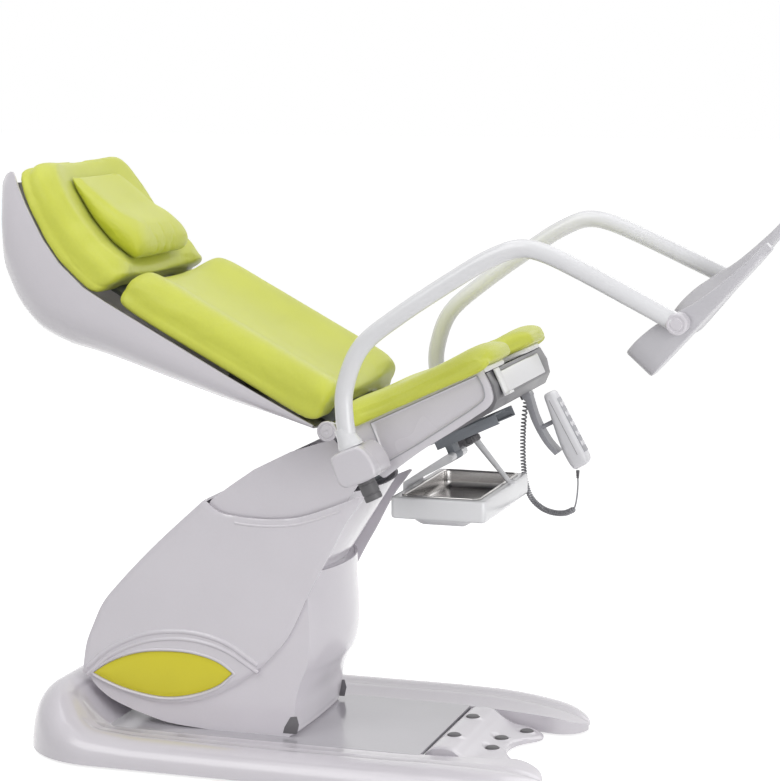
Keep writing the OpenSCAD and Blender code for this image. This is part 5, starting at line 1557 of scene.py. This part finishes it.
    def head_cushion(self) -> None:
        """Head cushion, swelled as cloth, with its seam."""
        pad, start, run = self.head_pad, self.head_start, self.head_run
        rows = smooth(np.array(self.head_rows), 3)
        rings = [[self.on_line(start + s * run, y, max(z, GAP)) for _, y, z in self.pad_ring(
            0, w * (self.half - self.side_gap), GAP + up * pad, t * pad, 0.8)] for s, w, t, up in rows]
        obj = cushion_from("head_upholstery", Solid().grid(BACK.at(refine(np.array(rings), 2))), 5.0, 6.0,
                           self.resting(8), 4.0)
        seam = [self.on_line(start + s * run, y * (self.half - 4), z) for s, y, z in (
            (0.01, -0.96, 26), (0.08, -1, 24), (0.3, -1, 23), (0.6, -0.985, 23), (0.85, -0.95, 23), (0.95, -0.86, 25),
            (1.0, -0.5, 27), (1.0, 0.5, 27), (0.95, 0.86, 25), (0.85, 0.95, 23), (0.6, 0.985, 23), (0.3, 1, 23),
            (0.08, 1, 24), (0.01, 0.96, 26), (0.0, 0, 28))]
        sew(obj, BACK.at(smooth(np.array(seam), 6, True)), 3.4, 2.6)
        finish_piece(obj, "back", "lime_upholstery", ["head_cushion"], angle=180)

    def pillow(self) -> None:
        """Wedge-shaped neck pillow on the head cushion."""
        start, run = self.head_start, self.head_run
        share, wide, thick, lift = np.array(self.head_rows).T
        rows = smooth(np.array([[0, 0.9, 0.3, 0.14], [0.04, 0.97, 0.62, 0.04], [0.13, 1, 0.86, 0], [0.29, 1, 1, 0],
                                [0.6, 0.98, 0.68, 0], [0.88, 0.92, 0.36, 0], [0.97, 0.86, 0.22, 0.02],
                                [1, 0.78, 0.1, 0.04]]), 4)
        around = [[-0.75, 0], [-0.4, 0], [0, 0], [0.4, 0], [0.75, 0], [0.95, 0.2], [1, 0.5], [0.94, 0.8], [0.75, 0.97],
                  [0.4, 1.04], [0, 1.06], [-0.4, 1.04], [-0.75, 0.97], [-0.94, 0.8], [-1, 0.5], [-0.95, 0.2]]
        rings = []
        for s, w, t, up in rows:
            at, ring = 40 + s * 220, []
            for y, z in around:
                out = y * w * 145
                half = (self.half - self.side_gap) * np.interp(at / run, share, wide)
                level = float(np.interp(abs(out) / half, [0, 0.28, 0.5, 0.66], [0.656, 0.688, 0.784, 0.904]))
                seat = self.head_pad * float(np.interp(at / run, share, lift) + np.interp(
                    at / run, share, thick) * level) + 0.6
                ring.append(self.on_line(start + at, out, seat + 80 * (up + t * z * (1 - up))))
            rings.append(ring)
        g = refine(np.array(rings), 3)
        obj = cushion_from("neck_pillow_upholstery", Solid().grid(BACK.at(g)), 4.0, 4.0,
                           lambda p: np.ones(len(p)), 4.5)
        finish_piece(obj, "pillow", "lime_upholstery", ["neck_pillow"], angle=180)

    def hinge(self) -> None:
        """Ringed caps at the common pivot, and the steel inside the back."""
        place = Place().move(*PIVOT)
        for sign in (-1, 1):
            turn = place.turn_x(90 if sign < 0 else -90)
            cap = Solid().lathe([(0.3, 238), (15, 238), (22, 240), (22, 245.6), (20.6, 247), (17.5, 247), (16.5, 245.6),
                                 (14.5, 245.6), (13.5, 247), (5, 247.6), (3.4, 246.4), (0.3, 246.4)], turn, 56)
            finish_piece(to_object(f"hinge_cap_{'right' if sign < 0 else 'left'}", cap), "upper", "cover_grey")
        eased_copy("back_frame", "back_frame_steel", "back", "steel_frame", 1.5, 2)

    def build(self) -> None:
        """Makes the back's pieces."""
        self.shell()
        self.back_cushion()
        self.head_cushion()
        self.pillow()
        self.hinge()


# ---------------------------------------------------------------- handset
@dataclass
class HandsetUnit:
    """Wired handset on its curved holder, with its curly cord."""

    length: float = 178.0
    cord: float = 4.0
    coil: float = 14.0
    curls: int = 58
    per_curl: int = 16
    place: Place = field(default_factory=lambda: Place().move(491, 95, 800).turn_y(-29))
    lead: tuple = ((557, 95, 610.7), (557, 96, 596), (555, 99, 574), (551, 104, 553), (545, 112, 538))
    hang: tuple = ((544.7, 112.4, 537.6), (520, 132, 524), (486, 160, 518), (452, 188, 522), (424, 206, 540),
                   (410, 212, 570), (404, 212, 610), (403, 208, 660), (406, 202, 712), (412.6, 198, 766))

    def route(self) -> np.ndarray:
        """Centreline of the cord from the handset through its curls to the socket under the seat."""
        line = catmull(self.hang, 232)
        n = len(line)
        ahead = np.array([unit(line[min(i + 1, n - 1)] - line[max(i - 1, 0)]) for i in range(n)])
        side, sides = np.array([0.0, 1.0, 0.0]), []
        for t in ahead:
            side = unit(side - (side @ t) * t)
            sides.append(side)
        total, made = self.curls * self.per_curl, []
        for i in range(total + 1):
            u = i / total * (n - 1)
            j = min(int(u), n - 2)
            t = u - j
            p = line[j] * (1 - t) + line[j + 1] * t
            a = unit(sides[j] * (1 - t) + sides[j + 1] * t)
            b = np.cross(ahead[j], a)
            r = (self.coil - self.cord) / 2 * min(min(i, total - i) / self.per_curl, 1)
            w = 2 * math.pi * i / self.per_curl
            made.append(p + r * (math.cos(w) * a + math.sin(w) * b))
        return np.vstack([catmull(self.lead, 40)[:-1], made])

    def relief(self) -> bpy.types.Object:
        """Ribbed strain relief at the handset's lower end."""
        rows = [(0.3, 0.0), (2.5, 0.0), (2.9, 0.6)]
        for k in range(5):
            z = 1.6 + k * 3.2
            r = 2.9 + 1.4 * z / 17.5
            rows += [(r, z), (r + 0.2, z + 0.4), (r + 0.2, z + 1.7), (r - 0.4, z + 2.1), (r - 0.4, z + 2.8)]
        rows += [(4.4, 17.5), (0.3, 17.5)]
        obj = to_object("handset_strain_relief", Solid().lathe(rows, Place().move(556.6, 95, 611), 24))
        return finish_piece(obj, "control", "dark_plastic", ["strain_relief"])

    def wire(self, relief: bpy.types.Object) -> None:
        """The curly cord, which bends between the handset and the seat."""
        path = self.route()
        obj = tube_shape(self.cord / 2, 8).make("curly_cord", path, FINISHES["cord_rubber"])
        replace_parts(obj, "cord_lead", "cord_coil")
        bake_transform(obj, "seat", "control", (0.43, 0.2, 0.54), (0.53, 0.13, 0.54))

    def body(self) -> None:
        """Handset with its thicker lower back and the recess for its face plate."""
        half = [[0, 17], [0.012, 21.5], [0.04, 24.4], [0.09, 25], [0.88, 25], [0.95, 23.2], [0.985, 19], [1.0, 13]]
        front = [[0, 7], [0.012, 10.6], [0.04, 12.6], [0.09, 13], [0.9, 13], [0.96, 10.5], [0.99, 5], [1.0, 0]]
        rear = [[0, 8], [0.012, 11], [0.04, 13], [0.12, 15.2], [0.66, 31.4], [0.78, 33], [0.9, 32.2], [0.97, 30],
                [1.0, 26]]
        rings = []
        for s in smooth(np.array([[0.0], [0.012], [0.04], [0.09], [0.3], [0.66], [0.78], [0.9], [0.96], [0.99],
                                  [1.0]]), 4)[:, 0]:
            h, f, r = (float(table(t, s)) for t in (half, front, rear))
            ring = []
            for c, q in circle(40):
                x = math.copysign(abs(c) ** 0.5, c)
                ring.append(((f - r) / 2 + (f + r) / 2 * x, h * math.copysign(abs(q) ** 0.5, q), -s * self.length))
            rings.append(ring)
        obj = to_object("handset_moulding", Solid().grid(self.place.at(np.array(rings))))
        carve(obj, Solid().block((12.2, -17.5, -152), (20, 17.5, -20), self.place))
        finish_piece(obj, "control", "handset_grey", ["handset"], angle=30)

    def face(self) -> None:
        """Face plate with its two rows of keys, and the parting line of the two halves."""
        plate = to_object("handset_face", Solid().block((11, -17.1, -151.6), (12.9, 17.1, -20.4), self.place))
        rounded(plate, 0.5, 2)
        finish_piece(plate, "control", "mid_grey")
        keys = Solid()
        for row in range(5):
            for y in (-8.6, 8.6):
                keys.lathe([(0.2, -0.4), (6.2, -0.4), (6.2, 0.9), (5.6, 1.5), (4.4, 1.6), (0.2, 1.2)],
                           self.place.move(12.9, y, -36 - row * 24).turn_y(90), 28)
        finish_piece(to_object("handset_keys", keys), "control", "handset_grey")
        for k, sign in enumerate((-1, 1)):
            line = self.place.at([(-3.2, sign * 25.05, -16), (-3.2, sign * 25.05, -150)])
            seam = tube_shape(0.45, 6).make(f"handset_parting_line_{k}", line, FINISHES["dark_plastic"])
            finish_piece(seam, "control", "dark_plastic")

    def holder(self) -> None:
        """Curved arm under the handset and the socket of the cord."""
        for node, name, slot, width in (("handset_holder", "handset_arm", "mid_grey", 1.6),
                                        ("cord_socket", "cord_socket_cup", "dark_plastic", 1.4)):
            eased_copy(node, name, "seat", slot, width)

    def build(self) -> None:
        """Makes the cord first, then the handset and its holder."""
        self.wire(self.relief())
        self.body()
        self.face()
        self.holder()


# ---------------------------------------------------------------- legs
@dataclass
class LegSupport:
    """Leg support: bracket with its swivel, bent tube and foot plate."""

    side: Side
    u: float = 74.0
    w: float = -87.0
    half: float = 343.0
    inner: float = 265.0
    outer: float = 375.0
    size: float = 88.0
    sleeve: float = 44.0
    tube: float = 38.0
    reach: float = 680.0
    rise: float = 410.0
    foot_len: float = 350.0
    foot_w: float = 96.0
    foot_angle: float = 48.0
    plate_y: float = 275.1
    shape: tuple = ((-0.54, -0.25), (-0.53, 0.1), (-0.48, 0.36), (-0.36, 0.42), (0.12, 0.42), (0.26, 0.39),
                    (0.42, 0.1), (0.43, -0.3), (0.36, -0.4), (-0.24, -0.42), (-0.44, -0.38))
    bends: tuple = ((-0.004, 0), (-0.019, 0.14), (-0.016, 0.3), (0.035, 0.5), (0.155, 0.665), (0.342, 0.87),
                    (0.435, 0.96), (0.52, 1.01), (0.6, 0.99), (0.71, 0.91), (0.86, 0.785), (0.985, 0.68),
                    (1.01, 0.66))
    plan: tuple = ((0, 0.34), (0.02, 0.62), (0.08, 0.86), (0.2, 0.95), (0.36, 0.94), (0.52, 1), (0.7, 1),
                   (0.84, 0.88), (0.94, 0.66), (1, 0.3))
    rim: tuple = ((0, 0.2), (0.08, 0.2), (0.2, 0.19), (0.36, 0.15), (0.52, 0.1), (0.7, 0.07), (0.84, 0.055),
                  (1, 0.05))

    @property
    def turn(self) -> float:
        """Angle by which this support stands above the seat's plane."""
        return -2.5 if self.side.left else 0.0

    def at_leg(self) -> Place:
        """Axes of the bracket, in the seat's plane."""
        start = Place().flip_y(self.side.left)
        seat = Place(start.matrix @ SEAT.matrix)
        return seat.move(self.u, 0, self.w).turn_y(self.turn).move(-self.u, 0, -self.w)

    def raised(self) -> Place:
        """Level axes, turned with the support about the cross beam."""
        return self.at_leg().turn_y(SEAT_TILT).move(-PIVOT[0], 0, -PIVOT[2])

    @property
    def low(self) -> float:
        """Height of the bracket's underside."""
        return self.w - 0.42 * self.size

    @property
    def top(self) -> float:
        """Height of the bracket's upper side."""
        return self.w + 0.42 * self.size

    @property
    def foot(self) -> tuple[float, float]:
        """Lower end of the tube's line."""
        tilt, w = math.radians(SEAT_TILT), self.top + SKIN
        c, s = math.cos(tilt), math.sin(tilt)
        return PIVOT[0] + self.u * c - w * s, PIVOT[2] + self.u * s + w * c

    @property
    def pivot(self) -> tuple[float, float]:
        """Pivot of the foot plate."""
        x, z = self.foot
        return x + 0.995 * self.reach, z + 0.672 * self.rise

    @property
    def hub(self) -> Place:
        """Axes of the foot plate's pivot, with Z along it."""
        x, z = self.pivot
        return self.raised().move(x, -self.half, z).turn_x(90)

    @property
    def plate(self) -> Place:
        """Axes of the foot plate, from its heel."""
        x, z = self.pivot
        return self.raised().move(x, -self.plate_y, z).turn_y(-self.foot_angle).move(
            -0.36 * self.foot_len, 0, -0.09 * self.foot_len)

    def bracket(self) -> None:
        """Bracket casing on the cross beam, with its sleeve below."""
        name = self.side.value
        seat = self.at_leg()
        outline = smooth(np.array(self.shape), 5, True) * self.size + (self.u, self.w)
        obj = to_object(f"bracket_casing_{name}", Solid().slab(outline, -self.outer, -self.inner, seat))
        rounded(obj, 7, 5, 50)
        carve(obj, Solid().slab(circle(48, 16.1, (self.u, self.w)), -323.3, -200, seat))
        carve(obj, Solid().lathe([(0.2, -2), (15.1, -2), (15.1, self.size), (0.2, self.size)],
                                 seat.move(self.u, -self.half, self.low), 48))
        finish_piece(obj, f"bracket_{name}", "cover_grey", [f"leg_bracket_{name}"], angle=32)
        r, n = self.tube / 2, self.sleeve
        rows = [(0.3, 0.4), (r - 2.6, 0), (r - 0.8, 0.8), (r, 2.6), (r, 12), (r - 1, 13), (r - 1, 15), (r, 16),
                (r, n - 9), (r - 0.9, n - 8), (r - 0.9, n - 6), (r, n - 5), (r, n - 0.2), (15.1, n - 0.2),
                (15.1, SKIN), (0.3, SKIN)]
        cup = to_object(f"swivel_sleeve_{name}", Solid().lathe(rows, seat.move(self.u, -self.half, self.low - n), 56))
        finish_piece(cup, f"bracket_{name}", "dark_plastic", [f"clamp_sleeve_{name}"])

    def tubing(self) -> None:
        """Bent tube with its flare, its pin and the hub at its far end."""
        name, seat, level = self.side.value, self.at_leg(), self.raised()
        fx, fz = self.foot
        line = catmull([(fx + x * self.reach, -self.half, fz + z * self.rise) for x, z in self.bends], 96)
        tube = tube_shape(self.tube / 2, 36).make(f"leg_tube_{name}_bent", level.at(line),
                                                  FINISHES["light_paint"])
        finish_piece(tube, f"leg_{name}", "light_paint", [f"leg_tube_{name}"], angle=60)
        cone = Solid().lathe([(0.3, 0.3), (25.4, 0.3), (26.6, 1.4), (26.6, 7), (26.0, 9.5), (23.4, 17), (21.2, 26),
                              (19.8, 36), (19.3, 44), (0.3, 44)], seat.move(self.u, -self.half, self.top), 56)
        pin, end = SKIN + GAP, self.sleeve + self.size - 6
        cone.lathe([(0.3, pin), (13.4, pin), (15, 7), (15, end), (0.3, end)],
                   seat.move(self.u, -self.half, self.low - self.sleeve), 48)
        finish_piece(to_object(f"tube_flare_{name}", cone), f"leg_{name}", "light_paint")
        boss = Solid().lathe([(0.3, -19.3), (18.5, -19.3), (21.5, -17), (21.5, 16.6), (19.6, 18.9), (16, 19.4),
                              (15, 18.4), (12, 18.4), (11, 19.6), (0.3, 20.2)], self.hub, 56)
        boss.lathe([(0.3, -43.4), (5.8, -43.4), (7, -42.2), (7, 0), (0.3, 0)], self.hub, 40)
        finish_piece(to_object(f"foot_hub_{name}", boss), f"leg_{name}", "cover_grey")

    def outline(self, inset: float) -> tuple[np.ndarray, np.ndarray]:
        """Plan of the foot plate and its rim's height.

        Args:
            inset: distance inside the outer edge.

        Returns:
            Points of the outline, and the rim's height at each.
        """
        half = smooth(np.array(self.plan) * (self.foot_len, self.foot_w / 2), 7)
        loop = np.vstack([half * (1, -1), half[::-1]])
        top = table(self.rim, loop[:, 0] / self.foot_len) * self.foot_len
        p = shifted(loop, inset)
        p[:, 0] = np.clip(p[:, 0], inset, self.foot_len - inset)
        return p, top

    def foot_plate(self) -> None:
        """Foot plate: a sole with a rolled rim that is high round the heel."""
        name, place = self.side.value, self.plate
        rows = [(11, 0.3, None), (5, 0.0, None), (1.6, 1.3, None), (0, 5, None), (0, None, 0.45), (0, None, 0.75),
                (0, None, 0.93), (0.9, None, 0.982), (3.2, None, 1.006), (5.8, None, 1.006), (8.2, None, 0.982),
                (9, None, 0.93), (9, None, 0.75), (9.2, 21, None), (10.6, 16.2, None), (14, 13.6, None),
                (19, 13, None)]
        rings = []
        for inset, flat, share in rows:
            p, top = self.outline(inset)
            z = np.full(len(p), flat) if share is None else top * share
            if share is None and 9 < inset < 12:
                z = np.minimum(z, top * 0.9)
            rings.append(np.column_stack([p, z]))
        obj = to_object(f"foot_plate_{name}_cup", Solid().grid(place.at(np.array(rings))))
        carve(obj, Solid().lathe([(0.3, -60), (7.05, -60), (7.05, -10), (0.3, -10)], self.hub, 40))
        finish_piece(obj, f"foot_{name}", "mid_grey", [f"foot_plate_{name}"], PLATE, angle=34)
        collar = Solid().lathe([(7.05, -19.7), (14.4, -19.7), (15.4, -20.7), (15.4, -28.6), (7.05, -28.6)],
                               self.hub, 40, True)
        finish_piece(to_object(f"foot_collar_{name}", collar), f"foot_{name}", "mid_grey", look=PLATE)
        bars = Solid()
        for x in np.arange(58.0, 309.0, 25.0):
            reach = float(np.interp(x / self.foot_len, *zip(*self.plan))) * self.foot_w / 2 - 17
            bars.block((x - 1.6, -reach, 12.6), (x + 1.6, reach, 14.2), place)
        grip = to_object(f"sole_ribs_{name}", bars)
        rounded(grip, 0.6, 2)
        finish_piece(grip, f"foot_{name}", "mid_grey", look=PLATE)

    def build(self) -> None:
        """Makes the support's pieces."""
        self.bracket()
        self.tubing()
        self.foot_plate()


# ---------------------------------------------------------------- tray
@dataclass
class TrayUnit:
    """Basin tray under the seat's front: runner, hanger, tray, basin and lock knob."""

    x: float = 213.0
    length: float = 210.0
    width: float = 370.0
    height: float = 47.0
    top: float = 600.0
    basin_inset: float = 22.0
    basin_h: float = 38.0
    knob_x: float = 210.0
    knob_drop: float = 35.0

    def rounded_ring(self, inset: float, radius: float, z: float, around: int = 8) -> list[Point]:
        """Rounded rectangle inside the tray's plan.

        Args:
            inset: distance inside the tray's outer faces.
            radius: radius of its corners.
            z: its height.
            around: points of a corner.

        Returns:
            The ring's points.
        """
        x0, x1 = self.x + inset, self.x + self.length - inset
        half, ring = self.width / 2 - inset, []
        for cx, cy, start in ((x1 - radius, half - radius, 0), (x0 + radius, half - radius, 90),
                              (x0 + radius, radius - half, 180), (x1 - radius, radius - half, 270)):
            for a in np.radians(np.linspace(start, start + 90, around)):
                ring.append((cx + radius * math.cos(a), cy + radius * math.sin(a), z))
        return ring

    def tray(self) -> None:
        """Moulded tray with a rolled edge and a keel."""
        low, top = self.top - self.height, self.top
        rows = [(60, 8, low + 0.3), (10, 8, low), (3.2, 9, low + 1), (0.8, 10, low + 3.6), (0, 11, low + 8),
                (0, 11, top - 5), (0.8, 10.5, top - 2), (2.8, 10, top - 0.3), (6, 9, top), (19.6, 6, top),
                (21.2, 6, top - 0.5), (21.7, 6, top - 2), (21.7, 6, top - self.basin_h - GAP), (60, 5, top
                - self.basin_h - GAP)]
        g = np.array([self.rounded_ring(*row) for row in rows])
        finish_piece(to_object("tray_moulding", Solid().grid(g)), "tray_arm", "light_paint", ["tray"], angle=50)
        keel = Solid()
        for sign in (-1, 1):
            mid = sign * (self.width / 2 + 60) / 2
            rings = [[(self.x + self.length * (0.5 + kx * dx), mid + ky * dy, low + z) for kx, ky in (
                (-1, -0.8), (-0.9, -1), (0.9, -1), (1, -0.8), (1, 0.8), (0.9, 1), (-0.9, 1), (-1, 0.8))]
                for dx, dy, z in ((0.3, 30, 0.5), (0.3, 30, -5), (0.285, 27, -9), (0.24, 22, -15), (0.22, 20, -16.9))]
            keel.grid(np.array(rings))
        obj = to_object("tray_keel", keel)
        rounded(obj, 1.6, 3, 40)
        finish_piece(obj, "tray_arm", "light_paint")

    def basin(self) -> None:
        """Pressed steel basin with a rolled lip."""
        i, t = self.basin_inset, self.top
        low = t - self.basin_h
        rows = [(i + 40, 8, low + 0.2), (i + 8, 12, low), (i + 3, 14, low + 1.4), (i + 0.6, 15, low + 6),
                (i, 15, low + 14), (i, 15, t - 1), (i - 1, 15, t + GAP), (i - 4.4, 17, t + GAP), (i - 5.2, 18, t + 0.9),
                (i - 4.8, 17.6, t + 2.3), (i - 3.4, 16.6, t + 3.1), (i - 1.2, 15, t + 2.9), (i + 0.7, 14, t + 1.6),
                (i + 1.5, 13.5, t - 1.5), (i + 1.6, 13.5, low + 16), (i + 2.6, 13, low + 9), (i + 6, 12, low + 3.6),
                (i + 12, 10, low + 1.9), (i + 40, 8, low + 1.6)]
        g = np.array([self.rounded_ring(*row) for row in rows])
        finish_piece(to_object("steel_basin", Solid().grid(g)), "basin_pan", "stainless", ["basin"], angle=60)

    def hanger(self) -> None:
        """Hanger and runner, with eased edges; the stainless runner is drawn in the dark frame finish as painted shade
        under the seat.
        """
        for node, name, body, slot, width in (("tray_hanger", "tray_hanger_arm", "tray_arm", "light_paint", 2.2),
                                              ("tray_runner", "tray_slide_block", "runner", "stainless", 0.8)):
            # stainless runner drawn in the dark frame finish as painted shade
            look = FINISHES["steel_frame" if slot == "stainless" else slot]
            eased_copy(node, name, body, slot, width, angle=35, look=look)

    def knob(self) -> None:
        """Lock knob with grip ribs."""
        base = SEAT.move(self.knob_x, 0, -0.285 * SEAT_LEN - self.knob_drop)
        obj = to_object("tray_lock_knob", Solid().lathe(
            [(0.3, 0), (13, 0), (15.6, 0.9), (16.6, 2.6), (16.6, 12.4), (15.6, 14.2), (13, 15), (6, 15), (6, 20),
             (0.3, 20)], base, 56))
        finish_piece(obj, "knob", "dark_plastic", ["tray_knob"])
        points = base.at([(x, y, 7.5) for x, y in circle(18, 16.3)])
        ribs = rib_shape(1.5, 10.5, -25).make("tray_knob_ribs", points, FINISHES["dark_plastic"], True)
        finish_piece(ribs, "knob", "dark_plastic", angle=50)

    def build(self) -> None:
        """Makes the tray's pieces."""
        self.tray()
        self.basin()
        self.hanger()
        self.knob()


# ---------------------------------------------------------------- carried-over nodes
@dataclass
class Innards:
    """CAD nodes that are shown as they are, each in its own finish."""

    record: dict

    def build(self) -> None:
        """Gives each node that nothing replaces the finish of its slot."""
        slots = {part["node"]: part["material_slot"] for part in self.record["subparts"]}
        hidden = {name for obj in bpy.data.objects for name in obj.get("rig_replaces", [])}
        for name, obj in NODES.items():
            if name in hidden:
                continue
            look = FINISHES[slots[name]].build()
            if not obj.material_slots:
                obj.data.materials.append(look)
            for place in obj.material_slots:
                place.material = look
            LOG.info("%s: %s", name, look.name)


# ---------------------------------------------------------------- studio
@dataclass
class Studio:
    """Camera at the photograph's angle, soft lamps, pale floor and plain background."""

    azimuth: float = 17.7
    pitch: float = 8.1
    lens: float = 107.1
    eye: Point = (1.690, -4.813, 1.520)
    air: float = 0.36
    floor_half: float = 40000.0
    floor_tone: float = 0.62
    floor_glow: float = 0.8
    lamps: tuple = (("key_lamp", (-1.4, -2.6, 3.6), 2.6, 55.0), ("fill_lamp", (3.4, -2.6, 1.3), 2.4, 34.0),
                    ("rear_lamp", (1.8, 3.2, 3.0), 2.6, 28.0), ("top_lamp", (0.0, 0.0, 4.2), 3.0, 40.0),
                    ("low_lamp", (2.7, -1.3, 0.5), 1.6, 20.0))

    def camera(self) -> None:
        """Makes the camera."""
        a, p = math.radians(self.azimuth), math.radians(self.pitch)
        back = Vector((math.sin(a) * math.cos(p), -math.cos(a) * math.cos(p), math.sin(p)))
        data = bpy.data.cameras.new("view")
        data.lens, data.sensor_width, data.sensor_fit = self.lens, 36.0, "HORIZONTAL"
        data.dof.use_dof = False
        obj = bpy.data.objects.new("view", data)
        obj.location = self.eye
        obj.rotation_euler = (-back).to_track_quat("-Z", "Y").to_euler()
        bpy.context.scene.collection.objects.link(obj)
        bpy.context.scene.camera = obj

    def lights(self) -> None:
        """Makes the soft lamps, each turned to the chair."""
        for name, at, size, power in self.lamps:
            data = bpy.data.lights.new(name, "AREA")
            data.shape, data.size, data.energy = "SQUARE", size, power
            obj = bpy.data.objects.new(name, data)
            obj.location = at
            obj.rotation_euler = (Vector((0.05, 0, 0.75)) - Vector(at)).to_track_quat("-Z", "Y").to_euler()
            bpy.context.scene.collection.objects.link(obj)

    @staticmethod
    def seen(tree: bpy.types.NodeTree) -> Wire:
        """1 for rays that come from the camera, a mirror or glass."""
        path = tree.nodes.new("ShaderNodeLightPath")
        camera, mirror, glass = (Wire(tree, path.outputs[n]) for n in (
            "Is Camera Ray", "Is Glossy Ray", "Is Transmission Ray"))
        return camera.joined("MAXIMUM", mirror).joined("MAXIMUM", glass)

    def sky(self) -> None:
        """World that is white to the camera and a soft grey light to the chair."""
        world = bpy.data.worlds.new("studio")
        world.use_nodes = True
        bpy.context.scene.world = world
        tree = world.node_tree
        tree.nodes.clear()
        level = self.seen(tree) * (1 - self.air) + self.air
        light = add_node(tree, "ShaderNodeBackground", Color=(1, 1, 1, 1), Strength=level)
        add_node(tree, "ShaderNodeOutputWorld", Surface=light.outputs[0])

    def floor(self) -> None:
        """Pale floor that shows white and keeps the chair's shadow."""
        reach = self.floor_half
        corners = [(x * reach, y * reach, -0.5) for x, y in ((-1, -1), (1, -1), (1, 1), (-1, 1))]
        obj = to_object("studio_floor", Solid().add(corners, [(0, 1, 2, 3)]))
        look = bpy.data.materials.new("studio_floor")
        look.use_nodes = True
        tree = look.node_tree
        tree.nodes.clear()
        plain = add_node(tree, "ShaderNodeBsdfDiffuse", Color=(*[self.floor_tone] * 3, 1))
        glow = add_node(tree, "ShaderNodeEmission", Strength=self.seen(tree) * self.floor_glow)
        both = tree.nodes.new("ShaderNodeAddShader")
        for part, slot in zip((plain, glow), both.inputs):
            tree.links.new(part.outputs[0], slot)
        add_node(tree, "ShaderNodeOutputMaterial", Surface=both.outputs[0])
        obj.data.materials.append(look)

    def build(self) -> None:
        """Makes the studio."""
        scene = bpy.context.scene
        scene.view_settings.view_transform = "Standard"
        self.camera()
        self.lights()
        self.sky()
        self.floor()


def main() -> None:
    """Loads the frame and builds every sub-assembly in order."""
    logging.basicConfig(level=logging.INFO, format="%(message)s")
    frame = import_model()
    NODES.update(frame["nodes"])
    Studio().build()
    for unit_of_chair in (HandsetUnit(), Base(), Column(), Seat(), Backrest(), LegSupport(Side.RIGHT),
                          LegSupport(Side.LEFT), TrayUnit(), Innards(frame["record"])):
        LOG.info("-- %s", type(unit_of_chair).__name__)
        unit_of_chair.build()


if __name__ == "__main__":
    main()
